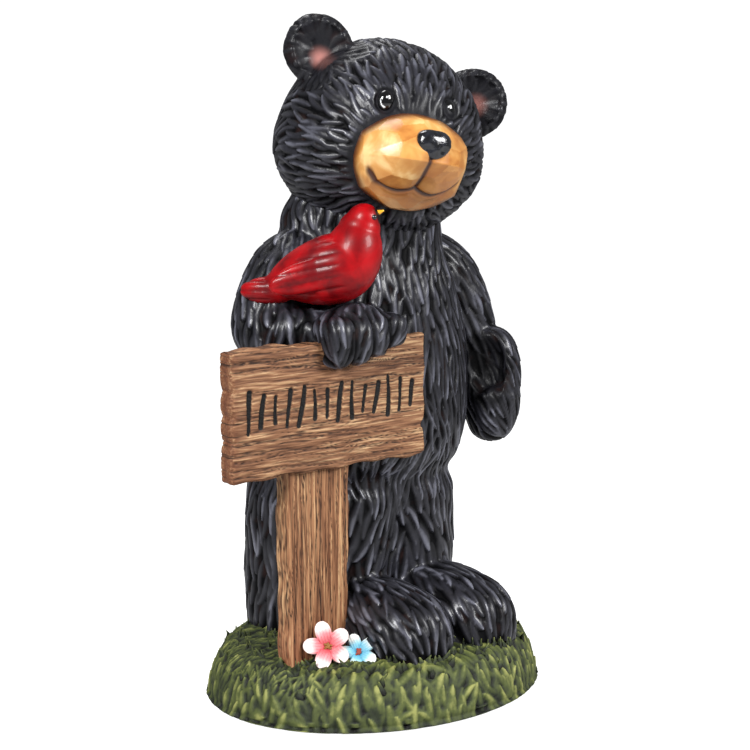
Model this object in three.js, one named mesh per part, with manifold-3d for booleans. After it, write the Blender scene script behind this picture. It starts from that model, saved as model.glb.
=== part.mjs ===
// A painted resin garden figure in the style of a chainsaw carving. A black bear stands on a grass
// mound and leans its right paw on a wooden sign, a red bird sits on its forearm, and two flowers
// grow at the foot of the post. Millimetres, +Z up. The bear faces -Y and its left side is +X. The
// origin is the middle of the mound's flat underside.
import * as THREE from 'three';
import { mergeVertices } from 'three/addons/utils/BufferGeometryUtils.js';
import Module from 'manifold-3d';

const wasm = await Module();
wasm.setup();

// The clear space that is left between two pieces that touch.
const gap = 0.3;

// The grass mound.
const moundLength = 226;
const moundDepth = 190;
const moundHeight = 37;
const moundRim = 11;
const bladeDepth = 2.6;

// The bear. Its limbs, head and carving are given in hundredths of its height, soles to ear tips.
const bearHeight = 390;
const bearX = 10;
const bearY = 37;
const soleSink = 6;
const soleHeight = moundHeight - soleSink;
const part = bearHeight / 100;

// The sign: a board across the front of a post, both of plank.
const boardLength = 149;
const boardHeight = 75;
const boardThickness = 13;
const boardMiddleX = -60.5;
const boardFrontY = -31;
const boardTop = 226;
const boardNotch = 9;
const postWidth = 49;
const postFootWidth = 44;
const postThickness = 13;
const postMiddleX = -68;
const postSetBack = 5;
const postSink = 12;
const grainDepth = 1.1;
const grainPitch = 9.4;
const strokeCount = 12;
const strokeHeight = 23;
const strokeDepth = 1.3;
const strokeWidth = 2.2;

// The bird.
const birdLength = 88;
const birdHeading = -45;

// The flowers.
const pinkFlowerWidth = 29;
const blueFlowerWidth = 23;
const petalCount = 5;
const petalThickness = 2.2;
const stemWidth = 4;

const weldDistance = 1e-4;
const degree = Math.PI / 180;

// Turns a three.js geometry into a solid that can be joined and cut.
function solidFrom(geometry) {
  const plain = geometry.clone();
  plain.deleteAttribute('normal');
  plain.deleteAttribute('uv');
  const merged = mergeVertices(plain, weldDistance);
  const corners = merged.index.array;
  const triangles = [];
  for (let i = 0; i < corners.length; i += 3) {
    const [a, b, c] = [corners[i], corners[i + 1], corners[i + 2]];
    if (a !== b && b !== c && c !== a) triangles.push(a, b, c);
  }
  return new wasm.Manifold(new wasm.Mesh({
    numProp: 3,
    vertProperties: new Float32Array(merged.attributes.position.array),
    triVerts: new Uint32Array(triangles),
  }));
}

// Turns a finished solid into a named mesh with its own material.
function meshFrom(name, solid, color, roughness) {
  const made = solid.getMesh();
  const geometry = new THREE.BufferGeometry();
  geometry.setAttribute('position', new THREE.BufferAttribute(new Float32Array(made.vertProperties), 3));
  geometry.setIndex(new THREE.BufferAttribute(new Uint32Array(made.triVerts), 1));
  geometry.computeVertexNormals();
  const material = new THREE.MeshStandardMaterial({ color, roughness, metalness: 0, flatShading: true });
  const mesh = new THREE.Mesh(geometry, material);
  mesh.name = name;
  return mesh;
}

function joined(solids) {
  return solids.reduce((whole, solid) => whole.add(solid));
}

function placed(solid, matrix) {
  return solid.transform(matrix.elements);
}

function block(lowX, highX, lowY, highY, lowZ, highZ) {
  const box = new THREE.BoxGeometry(highX - lowX, highY - lowY, highZ - lowZ);
  box.translate((lowX + highX) / 2, (lowY + highY) / 2, (lowZ + highZ) / 2);
  return solidFrom(box);
}

// A closed round form on a sphere's grid. pointAt gives the point for a direction, column and row.
function roundForm(columns, rows, pointAt) {
  const geometry = new THREE.SphereGeometry(1, columns, rows);
  const position = geometry.attributes.position;
  const direction = new THREE.Vector3();
  for (let i = 0; i < position.count; i++) {
    direction.fromBufferAttribute(position, i);
    const row = Math.floor(i / (columns + 1));
    const column = row === 0 || row === rows ? 0 : (i % (columns + 1)) % columns;
    const point = pointAt(direction, column, row);
    position.setXYZ(i, point.x, point.y, point.z);
  }
  return solidFrom(geometry);
}

// An ellipsoid with its own middle and half sizes.
function pebble(middle, halfSizes, columns, rows, grow = 0) {
  const sizes = halfSizes.clone().addScalar(grow);
  return roundForm(columns, rows, (direction) => direction.clone().multiply(sizes).add(middle));
}

// Carved fur: a lock is two columns wide and four rows long. It rises towards its tip, drops off
// there, and its neighbours start two rows lower.
const lockRows = 4;
const lockDepth = 0.56 * part;

function lock(column, row) {
  if (column % 2 === 1) return -0.6;
  const start = column % 4 === 0 ? 0 : lockRows / 2;
  return ((row + start) % lockRows) / (lockRows - 1) - 0.1;
}

// The valley between two locks bends around them. This is its place, in columns.
function lockColumn(column, row) {
  if (column % 2 === 0) return column;
  const bend = 0.45 * Math.cos((2 * Math.PI * (row + 0.5)) / lockRows);
  return column + (column % 4 === 1 ? bend : -bend);
}

// How far a direction reaches on a form that is squarer than a sphere. Two is a sphere.
function squared(x, y, z, squareness) {
  const powers = [x, y, z].map((share) => Math.pow(Math.abs(share), squareness));
  return Math.pow(powers[0] + powers[1] + powers[2], -1 / squareness);
}

// A limb: the rows of a sphere's grid follow a curve, and radii gives the thickness along it.
function limb(points, radii, columns, rows, grow = 0) {
  const curve = new THREE.CatmullRomCurve3(points);
  const frames = curve.computeFrenetFrames(rows, false);
  const spread = new THREE.CatmullRomCurve3(radii.map((radius) => new THREE.Vector3(radius, 0, 0)));
  const endRoundness = 0.3;
  return roundForm(columns, rows, (direction, column, row) => {
    const along = row / rows;
    const turn = (column / columns) * 2 * Math.PI;
    const swell = Math.pow(Math.max(Math.sin(Math.PI * along), 0), endRoundness);
    const relief = lockDepth * lock(column, row) * Math.sin(Math.PI * along);
    const reach = (spread.getPoint(along).x + grow) * swell + relief;
    return curve.getPoint(along)
      .addScaledVector(frames.normals[row], -Math.cos(turn) * reach)
      .addScaledVector(frames.binormals[row], Math.sin(turn) * reach);
  });
}

// A point of the bear, from its own middle line and its soles, in hundredths of its height.
function onBear(x, y, z) {
  return new THREE.Vector3(bearX + x * part, bearY + y * part, soleHeight + z * part);
}

// The trunk from the soles to inside the head: half width, half depth and lean forward at evenly
// spaced heights. A crease at the front and the back parts the legs below the belly.
const trunkSections = [
  [17.5, 13.6, 0.2], [17.9, 13.9, 0.2], [17.9, 13.8, 0.5], [18, 13.8, 1], [19.6, 14.6, 1.3],
  [19.4, 14.6, 1.5], [17.4, 13.8, 1.8], [13.6, 11.6, 2.6], [11.4, 10.2, 4.6],
].map((section) => new THREE.Vector3(...section));
const trunkSquareness = 2.6;
const trunkTop = 73;
const legTop = 26;
const legCreaseDepth = 2.6;
const legCreaseWidth = 0.24;

function trunk(grow) {
  const columns = 36;
  const rows = 20;
  const sections = new THREE.CatmullRomCurve3(trunkSections);
  const profile = [new THREE.Vector2(0, 0)];
  for (let row = 0; row <= rows; row++) profile.push(new THREE.Vector2(1, row / rows));
  profile.push(new THREE.Vector2(0, 1));
  const geometry = new THREE.LatheGeometry(profile, columns);
  const position = geometry.attributes.position;
  for (let i = 0; i < position.count; i++) {
    const column = Math.floor(i / profile.length) % columns;
    const row = (i % profile.length) - 1;
    const share = position.getY(i);
    const turn = (lockColumn(column, row) / columns) * 2 * Math.PI;
    const rim = Math.hypot(position.getX(i), position.getZ(i)) > 0.5 ? 1 : 0;
    const section = sections.getPoint(share);
    const fromCrease = Math.min(Math.abs(turn), Math.abs(turn - Math.PI), Math.abs(turn - 2 * Math.PI));
    const legShare = Math.max(0, 1 - Math.pow((share * trunkTop) / legTop, 4));
    const crease = legCreaseDepth * part * legShare * Math.exp(-Math.pow(fromCrease / legCreaseWidth, 2));
    const relief = lockDepth * lock(column, row) - crease + grow;
    const bulge = rim * squared(Math.sin(turn), Math.cos(turn), 0, trunkSquareness);
    const x = bearX + Math.sin(turn) * (section.x * part + relief) * bulge;
    const y = bearY - section.z * part - Math.cos(turn) * (section.y * part + relief) * bulge;
    const z = soleHeight + share * trunkTop * part + (row < rows / 2 ? -grow : grow);
    position.setXYZ(i, x, y, z);
  }
  return solidFrom(geometry);
}

// A foot: a long rounded wedge with three toe grooves across its front, cut flat at the sole.
const footHalfLength = 11.8;
const footHalfWidth = 7.4;
const footHeight = 10.8;
const footMiddle = 7.2;
const footReach = -16.8;
const footSquareness = 2.7;

function foot(side, grow) {
  const columns = 16;
  const rows = 9;
  const middle = onBear(side * footMiddle, footReach, 0);
  return roundForm(columns, rows, (direction, column, row) => {
    const ahead = Math.max(0, -direction.y);
    const high = direction.z > 0 ? footHeight * (1 - 0.12 * ahead) : footHeight * 0.4;
    const bulge = squared(direction.x, direction.y, direction.z, footSquareness);
    const relief = lock(column, row) * lockDepth * Math.sqrt(1 - direction.y * direction.y) + grow;
    return new THREE.Vector3(
      middle.x + direction.x * (footHalfWidth * part * bulge + relief),
      middle.y + direction.y * (footHalfLength * part * bulge + relief),
      middle.z + direction.z * (high * part * bulge + relief),
    );
  });
}

// The head has its own frame: x to its right, y forward and z up, in hundredths of the height. It
// is turned towards the sign and leans towards its left shoulder.
const headMiddle = onBear(0.4, -7.4, 80.6);
const headTurn = -16 * degree;
const headLean = -8 * degree;
const headFrame = new THREE.Matrix4()
  .makeRotationZ(Math.PI + headTurn)
  .multiply(new THREE.Matrix4().makeRotationY(headLean))
  .scale(new THREE.Vector3(part, part, part))
  .setPosition(headMiddle);
const skullHalf = new THREE.Vector3(16.6, 15.2, 16);
const muzzleMiddle = new THREE.Vector3(1.1, 13.3, -3.7);
const muzzleHalf = new THREE.Vector3(9.1, 7.5, 7.5);
const noseMiddle = new THREE.Vector3(0.6, 19.4, -1);
const noseHalf = new THREE.Vector3(2.7, 1.9, 2.4);
const eyeHalf = new THREE.Vector3(1.3, 0.9, 1.6);
const eyePlaces = [new THREE.Vector3(6.2, 13, 5), new THREE.Vector3(-4.8, 13.2, 5.7)];
const earPlaces = [
  { middle: new THREE.Vector3(12.9, 0.8, 12.1), lean: 42, size: 1 },
  { middle: new THREE.Vector3(-15.8, 0.8, 8.6), lean: -60, size: 0.92 },
];
const earHalf = new THREE.Vector3(5.5, 2.8, 5.8);
const earDishHalf = new THREE.Vector3(3.9, 2.4, 4.1);

function skull(grow) {
  const cheek = 0.07;
  const reliefDepth = lockDepth / part;
  return roundForm(32, 18, (direction, column, row) => {
    const bare = Math.min(1, Math.max(0, (0.72 - direction.y) * 5));
    const relief = lock(column, row) * reliefDepth * Math.sqrt(1 - direction.y * direction.y) * bare + grow;
    const jowl = 1 + cheek * Math.exp(-Math.pow((direction.z + 0.35) / 0.4, 2));
    return new THREE.Vector3(
      direction.x * (skullHalf.x * jowl + relief),
      direction.y * (skullHalf.y + relief),
      direction.z * (skullHalf.z + relief),
    );
  });
}

// The muzzle leans back below the nose, so the chin lies behind the mouth.
function onMuzzle(direction, grow = 0) {
  const chinSlope = 0.85;
  const point = direction.clone().multiply(muzzleHalf.clone().addScalar(grow));
  point.y += chinSlope * Math.min(0, point.z) * Math.max(0, direction.y);
  return point.add(muzzleMiddle);
}

// The mouth runs from cheek to cheek in a smile, and a short line joins it to the nose.
function mouthCut() {
  const corner = 66 * degree;
  const steps = 8;
  const cutRadius = 0.4;
  const mouth = [];
  for (let i = 0; i <= steps; i++) {
    const side = (i / steps) * 2 - 1;
    const turn = side * corner;
    const drop = -0.56 + 0.24 * side * side - 0.14 * Math.sin(Math.PI * Math.abs(side));
    const flat = Math.sqrt(1 - drop * drop);
    mouth.push(onMuzzle(new THREE.Vector3(Math.sin(turn) * flat, Math.cos(turn) * flat, drop)));
  }
  const line = [];
  for (let i = 0; i <= 4; i++) {
    const height = 0.1 - (i / 4) * 0.62;
    line.push(onMuzzle(new THREE.Vector3(0, Math.sqrt(1 - height * height), height)));
  }
  return [mouth, line].map((points) => {
    const section = new THREE.Shape([
      new THREE.Vector2(cutRadius, 0), new THREE.Vector2(0, cutRadius),
      new THREE.Vector2(-cutRadius, 0), new THREE.Vector2(0, -cutRadius),
    ]);
    const path = new THREE.CatmullRomCurve3(points);
    return solidFrom(new THREE.ExtrudeGeometry(section, { steps: points.length, extrudePath: path }));
  });
}

function ear({ middle, lean, size }) {
  const frame = new THREE.Matrix4().makeRotationY(lean * degree)
    .scale(new THREE.Vector3(size, size, size)).setPosition(middle);
  const disc = pebble(new THREE.Vector3(), earHalf, 12, 8);
  const dish = pebble(new THREE.Vector3(0, earHalf.y * 0.95, 0.4), earDishHalf, 8, 5);
  return placed(disc.subtract(dish), frame);
}

function head() {
  const [mouth, line] = mouthCut();
  const muzzle = roundForm(16, 10, (direction) => onMuzzle(direction)).subtract(mouth).subtract(line);
  const nose = pebble(noseMiddle, noseHalf, 10, 6);
  const eyes = eyePlaces.map((place) => pebble(place, eyeHalf, 6, 4));
  return placed(joined([skull(0), muzzle, nose, ...eyes, ...earPlaces.map(ear)]), headFrame);
}

// The head without its features, and the gap around it.
function headPocket() {
  const grow = gap / part;
  const muzzle = roundForm(16, 10, (direction) => onMuzzle(direction, grow));
  return placed(skull(grow).add(muzzle), headFrame);
}

// The right arm hangs from the shoulder, bends at the elbow and lays its paw over the board.
const pawDrape = 15;
const rightPaw = new THREE.Vector3(boardMiddleX + 21, boardFrontY + boardThickness / 2, boardTop + 6);
const rightPawHalf = new THREE.Vector3(7.4, 4.4, 4).multiplyScalar(part);
const fingerCount = 4;
const fingerRadius = 2.2 * part;

function rightArm(grow) {
  const points = [
    onBear(-6, -1, 62), onBear(-13.8, -2.4, 59.6), onBear(-19.6, -3, 51.5),
    onBear(-18.2, -8, 50.6), rightPaw,
  ];
  const radii = [7, 7.3, 5.6, 5.3, 4.4].map((radius) => radius * part);
  return limb(points, radii, 12, 10, grow);
}

function rightPawSolid(grow) {
  const paw = pebble(rightPaw, rightPawHalf, 12, 6, grow);
  const fingers = [];
  for (let i = 0; i < fingerCount; i++) {
    const across = (i / (fingerCount - 1) - 0.5) * 2;
    const x = rightPaw.x + across * (rightPawHalf.x - fingerRadius * 0.8);
    const drop = pawDrape * (1 - 0.3 * Math.max(0, across + 0.4));
    const top = rightPaw.z + rightPawHalf.z * 0.6;
    const middle = new THREE.Vector3(x, boardFrontY - fingerRadius * 0.3, (top + boardTop - drop) / 2);
    const half = new THREE.Vector3(fingerRadius, fingerRadius, (top - boardTop + drop) / 2);
    fingers.push(pebble(middle, half, 6, 5, grow));
  }
  return joined([paw, ...fingers]);
}

// The left arm hangs at the side with a cupped paw.
const leftPaw = onBear(23.4, -10.6, 39.2);
const leftPawHalf = new THREE.Vector3(4.7, 4.9, 10).multiplyScalar(part);
const palmFacing = new THREE.Vector3(-0.62, -0.78, 0).normalize();
const palmAcross = new THREE.Vector3(-0.78, 0.62, 0).normalize();

function leftArm() {
  const points = [onBear(6, -1, 61), onBear(16.2, -2.6, 58.6), onBear(21, -5.2, 51.6), onBear(22.8, -8, 44)];
  const radii = [6.8, 7, 5.8, 5].map((radius) => radius * part);
  const arm = limb(points, radii, 12, 10);
  const paw = pebble(leftPaw, leftPawHalf, 12, 8);
  const dishMiddle = leftPaw.clone().addScaledVector(palmFacing, 4.8 * part);
  dishMiddle.z += 3 * part;
  const dish = pebble(dishMiddle, new THREE.Vector3(2.6, 2.6, 4.8).multiplyScalar(part), 8, 6);
  const fingers = [];
  for (let i = 0; i < 3; i++) {
    const place = leftPaw.clone().addScaledVector(palmFacing, (3.2 - 0.5 * i) * part);
    place.z -= (1.8 + 2.5 * i) * part;
    const reach = (3.6 - 0.5 * i) * part;
    const tip = place.clone().addScaledVector(palmAcross, reach * 0.5).addScaledVector(palmFacing, 1.2 * part);
    const knuckle = place.clone().addScaledVector(palmAcross, -reach);
    fingers.push(limb([knuckle, place, tip], [1.5, 1.6, 1.4].map((radius) => radius * part), 6, 5));
  }
  return joined([arm.add(paw).subtract(dish), ...fingers]);
}

// The part of the bear that stands in the grass. The mound is cut by it with the gap added.
function standing(grow) {
  return joined([trunk(grow), foot(-1, grow), foot(1, grow)]);
}

function aboveSole(solid) {
  const reach = 2 * bearHeight;
  return solid.intersect(block(-reach, reach, -reach, reach, soleHeight, soleHeight + reach));
}

function bear(signPocket) {
  const whole = joined([standing(0), head(), rightArm(0), rightPawSolid(0), leftArm()]);
  return aboveSole(whole).subtract(signPocket);
}

// A plank with an uneven outline, grooves of grain along its length and worn ends.
function plank(length, endLength, width, thickness, grow) {
  const steps = 14;
  const wobble = 1.2;
  const side = (x, across, seed) => across + wobble * Math.sin(x * 0.09 + seed) * Math.sin(x * 0.23 + seed * 2);
  const outline = new THREE.Shape();
  const corner = 3;
  const halfLength = length / 2 + grow;
  const halfWidth = (x) => (width / 2) * (1 + (endLength / width - 1) * (0.5 - x / length)) + grow;
  for (let i = 0; i <= steps; i++) {
    const x = -halfLength + corner + (i / steps) * 2 * (halfLength - corner);
    const y = side(x, halfWidth(x), 1);
    if (i === 0) outline.moveTo(x, y);
    else outline.lineTo(x, y);
  }
  outline.lineTo(halfLength, halfWidth(halfLength) - corner);
  outline.lineTo(halfLength, corner - halfWidth(halfLength));
  for (let i = steps; i >= 0; i--) {
    const x = -halfLength + corner + (i / steps) * 2 * (halfLength - corner);
    outline.lineTo(x, -side(x, halfWidth(x), 4));
  }
  outline.lineTo(-halfLength, corner - halfWidth(-halfLength));
  outline.lineTo(-halfLength, halfWidth(-halfLength) - corner);
  const solid = solidFrom(new THREE.ExtrudeGeometry(outline, { depth: thickness + 2 * grow, bevelEnabled: false }));
  return solid.translate(0, 0, -grow);
}

// A long shallow V groove in a plank's front face, which lies at height face.
function grainCut(length, y, face, width, depth, bend) {
  const ridge = new THREE.Shape([
    new THREE.Vector2(-width / 2, gap), new THREE.Vector2(0, -depth), new THREE.Vector2(width / 2, gap),
  ]);
  const path = new THREE.CatmullRomCurve3([
    new THREE.Vector3(-length / 2, y, face), new THREE.Vector3(-length / 6, y + bend, face),
    new THREE.Vector3(length / 6, y - bend, face), new THREE.Vector3(length / 2, y, face),
  ]);
  const cut = new THREE.ExtrudeGeometry(ridge, { depth: length, bevelEnabled: false });
  cut.rotateX(Math.PI / 2);
  cut.rotateZ(Math.PI / 2);
  cut.translate(-length / 2, 0, 0);
  const position = cut.attributes.position;
  for (let i = 0; i < position.count; i++) {
    const along = Math.min(1, Math.max(0, position.getX(i) / length + 0.5));
    const point = path.getPoint(along);
    position.setXYZ(i, position.getX(i), position.getY(i) + point.y, position.getZ(i) + point.z);
  }
  return solidFrom(cut);
}

// A plank lies on its back with its length along x. These frames stand it up as board and post.
const boardFrame = new THREE.Matrix4().makeRotationX(Math.PI / 2)
  .setPosition(boardMiddleX, boardFrontY + boardThickness, boardTop - boardHeight / 2);
const postBottom = soleHeight - postSink;
const postTop = boardTop - boardHeight * 0.3;
const postFrame = new THREE.Matrix4().makeRotationX(Math.PI / 2)
  .multiply(new THREE.Matrix4().makeRotationZ(-Math.PI / 2))
  .setPosition(postMiddleX, boardFrontY + postSetBack + postThickness, (postBottom + postTop) / 2);

function board(grow) {
  return placed(plank(boardLength, boardHeight, boardHeight, boardThickness, grow), boardFrame);
}

function post(grow) {
  return placed(plank(postTop - postBottom, postWidth, postFootWidth, postThickness, grow), postFrame);
}

function grain(length, width, face, frame, margin) {
  const cuts = [];
  const count = Math.floor((width - margin) / grainPitch);
  for (let i = 0; i < count; i++) {
    const y = (i - (count - 1) / 2) * grainPitch;
    cuts.push(placed(grainCut(length * 1.2, y, face, 3 * grainDepth, grainDepth, 0.8), frame));
  }
  return joined(cuts);
}

// One row of short carved strokes across the board. They lean to and fro and form no letters.
function strokes() {
  const rowLength = boardLength * 0.84;
  const cuts = [];
  for (let i = 0; i < strokeCount; i++) {
    const x = boardMiddleX + (i / (strokeCount - 1) - 0.5) * rowLength;
    const lean = 14 * Math.sin(i * 2.1) * degree;
    const height = strokeHeight * (0.8 + 0.2 * Math.cos(i * 1.7));
    const stroke = new THREE.CylinderGeometry(strokeWidth / 2, strokeWidth / 3, height, 4);
    stroke.rotateX(Math.PI / 2);
    stroke.scale(1, strokeDepth / (strokeWidth / 2), 1);
    stroke.rotateY(lean);
    stroke.translate(x, boardFrontY, boardTop - boardHeight * 0.47);
    cuts.push(solidFrom(stroke));
  }
  return joined(cuts);
}

// The board's top edge dips where the paw lies on it.
function notchCut() {
  const notch = new THREE.CylinderGeometry(boardNotch * 2.6, boardNotch * 2.6, boardThickness * 3, 16);
  notch.translate(rightPaw.x, boardFrontY, boardTop + boardNotch * 1.6);
  return solidFrom(notch);
}

function sign() {
  const boardGrain = grain(boardLength, boardHeight, boardThickness, boardFrame, grainPitch);
  const postGrain = grain(postTop - postBottom, postFootWidth, postThickness, postFrame, grainPitch / 2);
  const faced = board(0).subtract(boardGrain).subtract(strokes()).subtract(notchCut());
  return faced.add(post(0).subtract(postGrain));
}

function signPocket() {
  return board(gap).subtract(notchCut()).add(post(gap));
}

// The grass mound: a lathe form stretched to its length and depth. Its side is carved into blades
// that lean over each other, and its top rises a little to the bear's feet.
const moundProfile = [
  [0, 0], [0.97, 0], [1, moundRim * 0.4], [0.99, moundRim], [0.965, moundRim * 1.7], [0.93, moundRim * 2.35],
  [0.87, moundHeight * 0.87], [0.74, moundHeight * 0.95], [0.45, moundHeight], [0, moundHeight],
];

function mound() {
  const columns = 44;
  const profile = moundProfile.map(([share, height]) => new THREE.Vector2(share, height));
  const geometry = new THREE.LatheGeometry(profile, columns);
  const position = geometry.attributes.position;
  for (let i = 0; i < position.count; i++) {
    const column = Math.floor(i / profile.length) % columns;
    const row = i % profile.length;
    const share = profile[row].x;
    const turn = (column / columns) * 2 * Math.PI;
    const [c, s] = [Math.cos(turn), Math.sin(turn)];
    const carved = row > 1 && share > 0 ? 1 : 0;
    const blade = (column + Math.floor(row / 2)) % 2 === 0 ? 0.5 : -0.5;
    const out = carved * blade * bladeDepth;
    const lift = carved * (share < 0.9 ? blade * bladeDepth * 0.8 : 0);
    position.setXYZ(
      i,
      s * (share * moundLength / 2 + out),
      profile[row].y + lift,
      c * (share * moundDepth / 2 + out),
    );
  }
  geometry.rotateX(Math.PI / 2);
  return solidFrom(geometry);
}

// A tuft of grass: three upright blades fanned over each other at the mound's edge or by a foot.
function tuft(x, y, z, height, turn) {
  const blades = [];
  for (let i = -1; i <= 1; i++) {
    const blade = new THREE.ConeGeometry(height * 0.26, height, 4);
    blade.scale(1, 1, 0.5);
    blade.translate(0, height / 2, 0);
    blade.rotateZ(i * 0.42);
    blade.rotateX(Math.PI / 2);
    blade.rotateZ(turn);
    blade.translate(x + i * height * 0.3 * Math.cos(turn), y + i * height * 0.3 * Math.sin(turn), z);
    blades.push(solidFrom(blade));
  }
  return joined(blades);
}

function tufts() {
  const made = [];
  const count = 8;
  const height = 13;
  for (let i = 0; i < count; i++) {
    const turn = (i / count) * 2 * Math.PI;
    const x = Math.cos(turn) * moundLength * 0.42;
    const y = Math.sin(turn) * moundDepth * 0.42;
    made.push(tuft(x, y, moundHeight * 0.72, height * (1 + 0.25 * Math.sin(i * 2.3)), turn + Math.PI / 2));
  }
  return joined(made);
}

// The feet cut a crumb of grass off between them, so only the largest body is kept.
function grassMound(pockets) {
  const cut = pockets.reduce((whole, pocket) => whole.subtract(pocket), mound().add(tufts()));
  return cut.decompose().sort((one, other) => other.volume() - one.volume())[0];
}

// The bird sits where the forearm meets the paw. It faces along x with its tail at -x, and its origin
// is the middle of its breast. Its sizes are in hundredths of its length.
const birdMiddle = new THREE.Vector3(
  rightPaw.x - 0.04 * birdLength,
  rightPaw.y + 0.06 * birdLength,
  rightPaw.z + rightPawHalf.z + 0.215 * birdLength,
);

function bird(bearWithGap) {
  const size = birdLength / 100;
  const frame = new THREE.Matrix4().makeRotationZ(birdHeading * degree)
    .scale(new THREE.Vector3(size, size, size))
    .setPosition(birdMiddle);
  const point = (x, z) => new THREE.Vector3(x, 0, z);
  const spine = [point(-62, -13), point(-33, -4), point(-10, 1), point(3, 6), point(9, 20), point(12, 33)];
  const body = smoothLimb(spine, [6, 20, 24.5, 22.5, 22, 16]);
  const neck = pebble(point(11, 29), new THREE.Vector3(14.5, 13, 13), 10, 6);
  const headBall = pebble(point(14, 35.5), new THREE.Vector3(11.5, 11, 11), 10, 7);
  const beak = new THREE.ConeGeometry(3.4, 9, 6);
  beak.rotateX(Math.PI / 2);
  beak.rotateY(1.2);
  beak.translate(24.5, 0, 40.5);
  const tail = pebble(point(-51, -13), new THREE.Vector3(20, 8, 9.5), 10, 7);
  const wings = [-1, 1].map((side) => {
    const wing = pebble(point(0, 0), new THREE.Vector3(27, 5, 11), 8, 6);
    const lay = new THREE.Matrix4().makeRotationZ(side * -0.2)
      .multiply(new THREE.Matrix4().makeRotationY(-0.27)).setPosition(-17, side * 18, -1);
    return placed(wing, lay);
  });
  const forms = [body, neck, headBall, solidFrom(beak), tail, ...wings];
  return placed(joined(forms), frame).subtract(bearWithGap);
}

// A smooth limb with no fur on it.
function smoothLimb(points, radii) {
  const rows = 10;
  const curve = new THREE.CatmullRomCurve3(points);
  const frames = curve.computeFrenetFrames(rows, false);
  const spread = new THREE.CatmullRomCurve3(radii.map((radius) => new THREE.Vector3(radius, 0, 0)));
  return roundForm(12, rows, (direction, column, row) => {
    const along = row / rows;
    const turn = (column / 12) * 2 * Math.PI;
    const reach = spread.getPoint(along).x * Math.pow(Math.max(Math.sin(Math.PI * along), 0), 0.5);
    return curve.getPoint(along)
      .addScaledVector(frames.normals[row], -Math.cos(turn) * reach)
      .addScaledVector(frames.binormals[row], Math.sin(turn) * reach);
  });
}

// A flower: round petals cupped about a button, on a stem that goes into the grass.
function flower(width, grow, facing) {
  const petalLength = width * 0.25;
  const petals = [];
  for (let i = 0; i < petalCount; i++) {
    const turn = ((i + 0.5) / petalCount) * 2 * Math.PI;
    const petal = pebble(
      new THREE.Vector3(petalLength, 0, 0),
      new THREE.Vector3(petalLength, width * 0.16, petalThickness / 2), 6, 4, grow,
    );
    const cup = new THREE.Matrix4().makeRotationZ(turn).multiply(new THREE.Matrix4().makeRotationY(-0.22));
    petals.push(placed(petal, cup));
  }
  const button = pebble(new THREE.Vector3(0, 0, petalThickness * 0.4), new THREE.Vector3(2.6, 2.6, 2), 8, 4, grow);
  return placed(joined([...petals, button]), facing);
}

function stem(flowerMiddle, grow) {
  const root = moundHeight * 0.55 - grow;
  const rod = new THREE.CylinderGeometry(stemWidth / 2 + grow, stemWidth / 2 + grow, flowerMiddle.z - root, 8);
  rod.rotateX(Math.PI / 2);
  rod.translate(flowerMiddle.x, flowerMiddle.y, (flowerMiddle.z + root) / 2);
  return solidFrom(rod);
}

function facingFrame(middle, turn, tilt) {
  return new THREE.Matrix4().makeRotationZ(turn * degree)
    .multiply(new THREE.Matrix4().makeRotationX(tilt * degree)).setPosition(middle);
}

const postFront = boardFrontY + postSetBack;
const pinkMiddle = new THREE.Vector3(postMiddleX - 2, postFront - pinkFlowerWidth * 0.32, moundHeight + 7);
const blueMiddle = new THREE.Vector3(postMiddleX + 15, postFront - blueFlowerWidth * 0.76, moundHeight + 2);
const pinkFacing = facingFrame(pinkMiddle, -40, 66);
const blueFacing = facingFrame(blueMiddle, -36, 52);

const pocket = signPocket();
const bearSolid = bear(pocket);
const bearWithGap = joined([trunk(gap), headPocket(), rightArm(gap), rightPawSolid(gap)]);
const signSolid = sign();
const pinkSolid = flower(pinkFlowerWidth, 0, pinkFacing).add(stem(pinkMiddle, 0)).subtract(pocket);
const bluePocket = joined([pocket, foot(-1, gap), flower(pinkFlowerWidth, gap, pinkFacing)]);
const blueSolid = flower(blueFlowerWidth, 0, blueFacing).add(stem(blueMiddle, 0)).subtract(bluePocket);
const soleBlock = block(-bearHeight, bearHeight, -bearHeight, bearHeight, soleHeight - gap, 2 * bearHeight);
const moundSolid = grassMound([
  standing(gap).intersect(soleBlock),
  pocket,
  flower(pinkFlowerWidth, gap, pinkFacing).add(stem(pinkMiddle, gap)),
  flower(blueFlowerWidth, gap, blueFacing).add(stem(blueMiddle, gap)),
]);

const figure = new THREE.Group();
figure.add(meshFrom('bear', bearSolid, 0x1d1d22, 0.5));
figure.add(meshFrom('grass_mound', moundSolid, 0x4b5a2a, 0.8));
figure.add(meshFrom('sign', signSolid, 0x9c6a40, 0.75));
figure.add(meshFrom('cardinal', bird(bearWithGap), 0xc01218, 0.3));
figure.add(meshFrom('pink_flower', pinkSolid, 0xe89aa0, 0.6));
figure.add(meshFrom('blue_flower', blueSolid, 0x8cc6dc, 0.6));

export default figure;
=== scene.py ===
# %% [markdown]
# # A painted garden bear with a sign
#
# The real thing is a cast resin figure, painted by hand: a black bear on a grass mound, its paw on
# a wooden sign, a red bird on its forearm and two flowers at its feet. The CAD frame gives every
# size and place. Here each piece is sculpted again with its carving, and gets its paint.

import math
from types import SimpleNamespace

import bmesh
import bpy
import numpy as np
from mathutils import Matrix, Vector, kdtree


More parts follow.
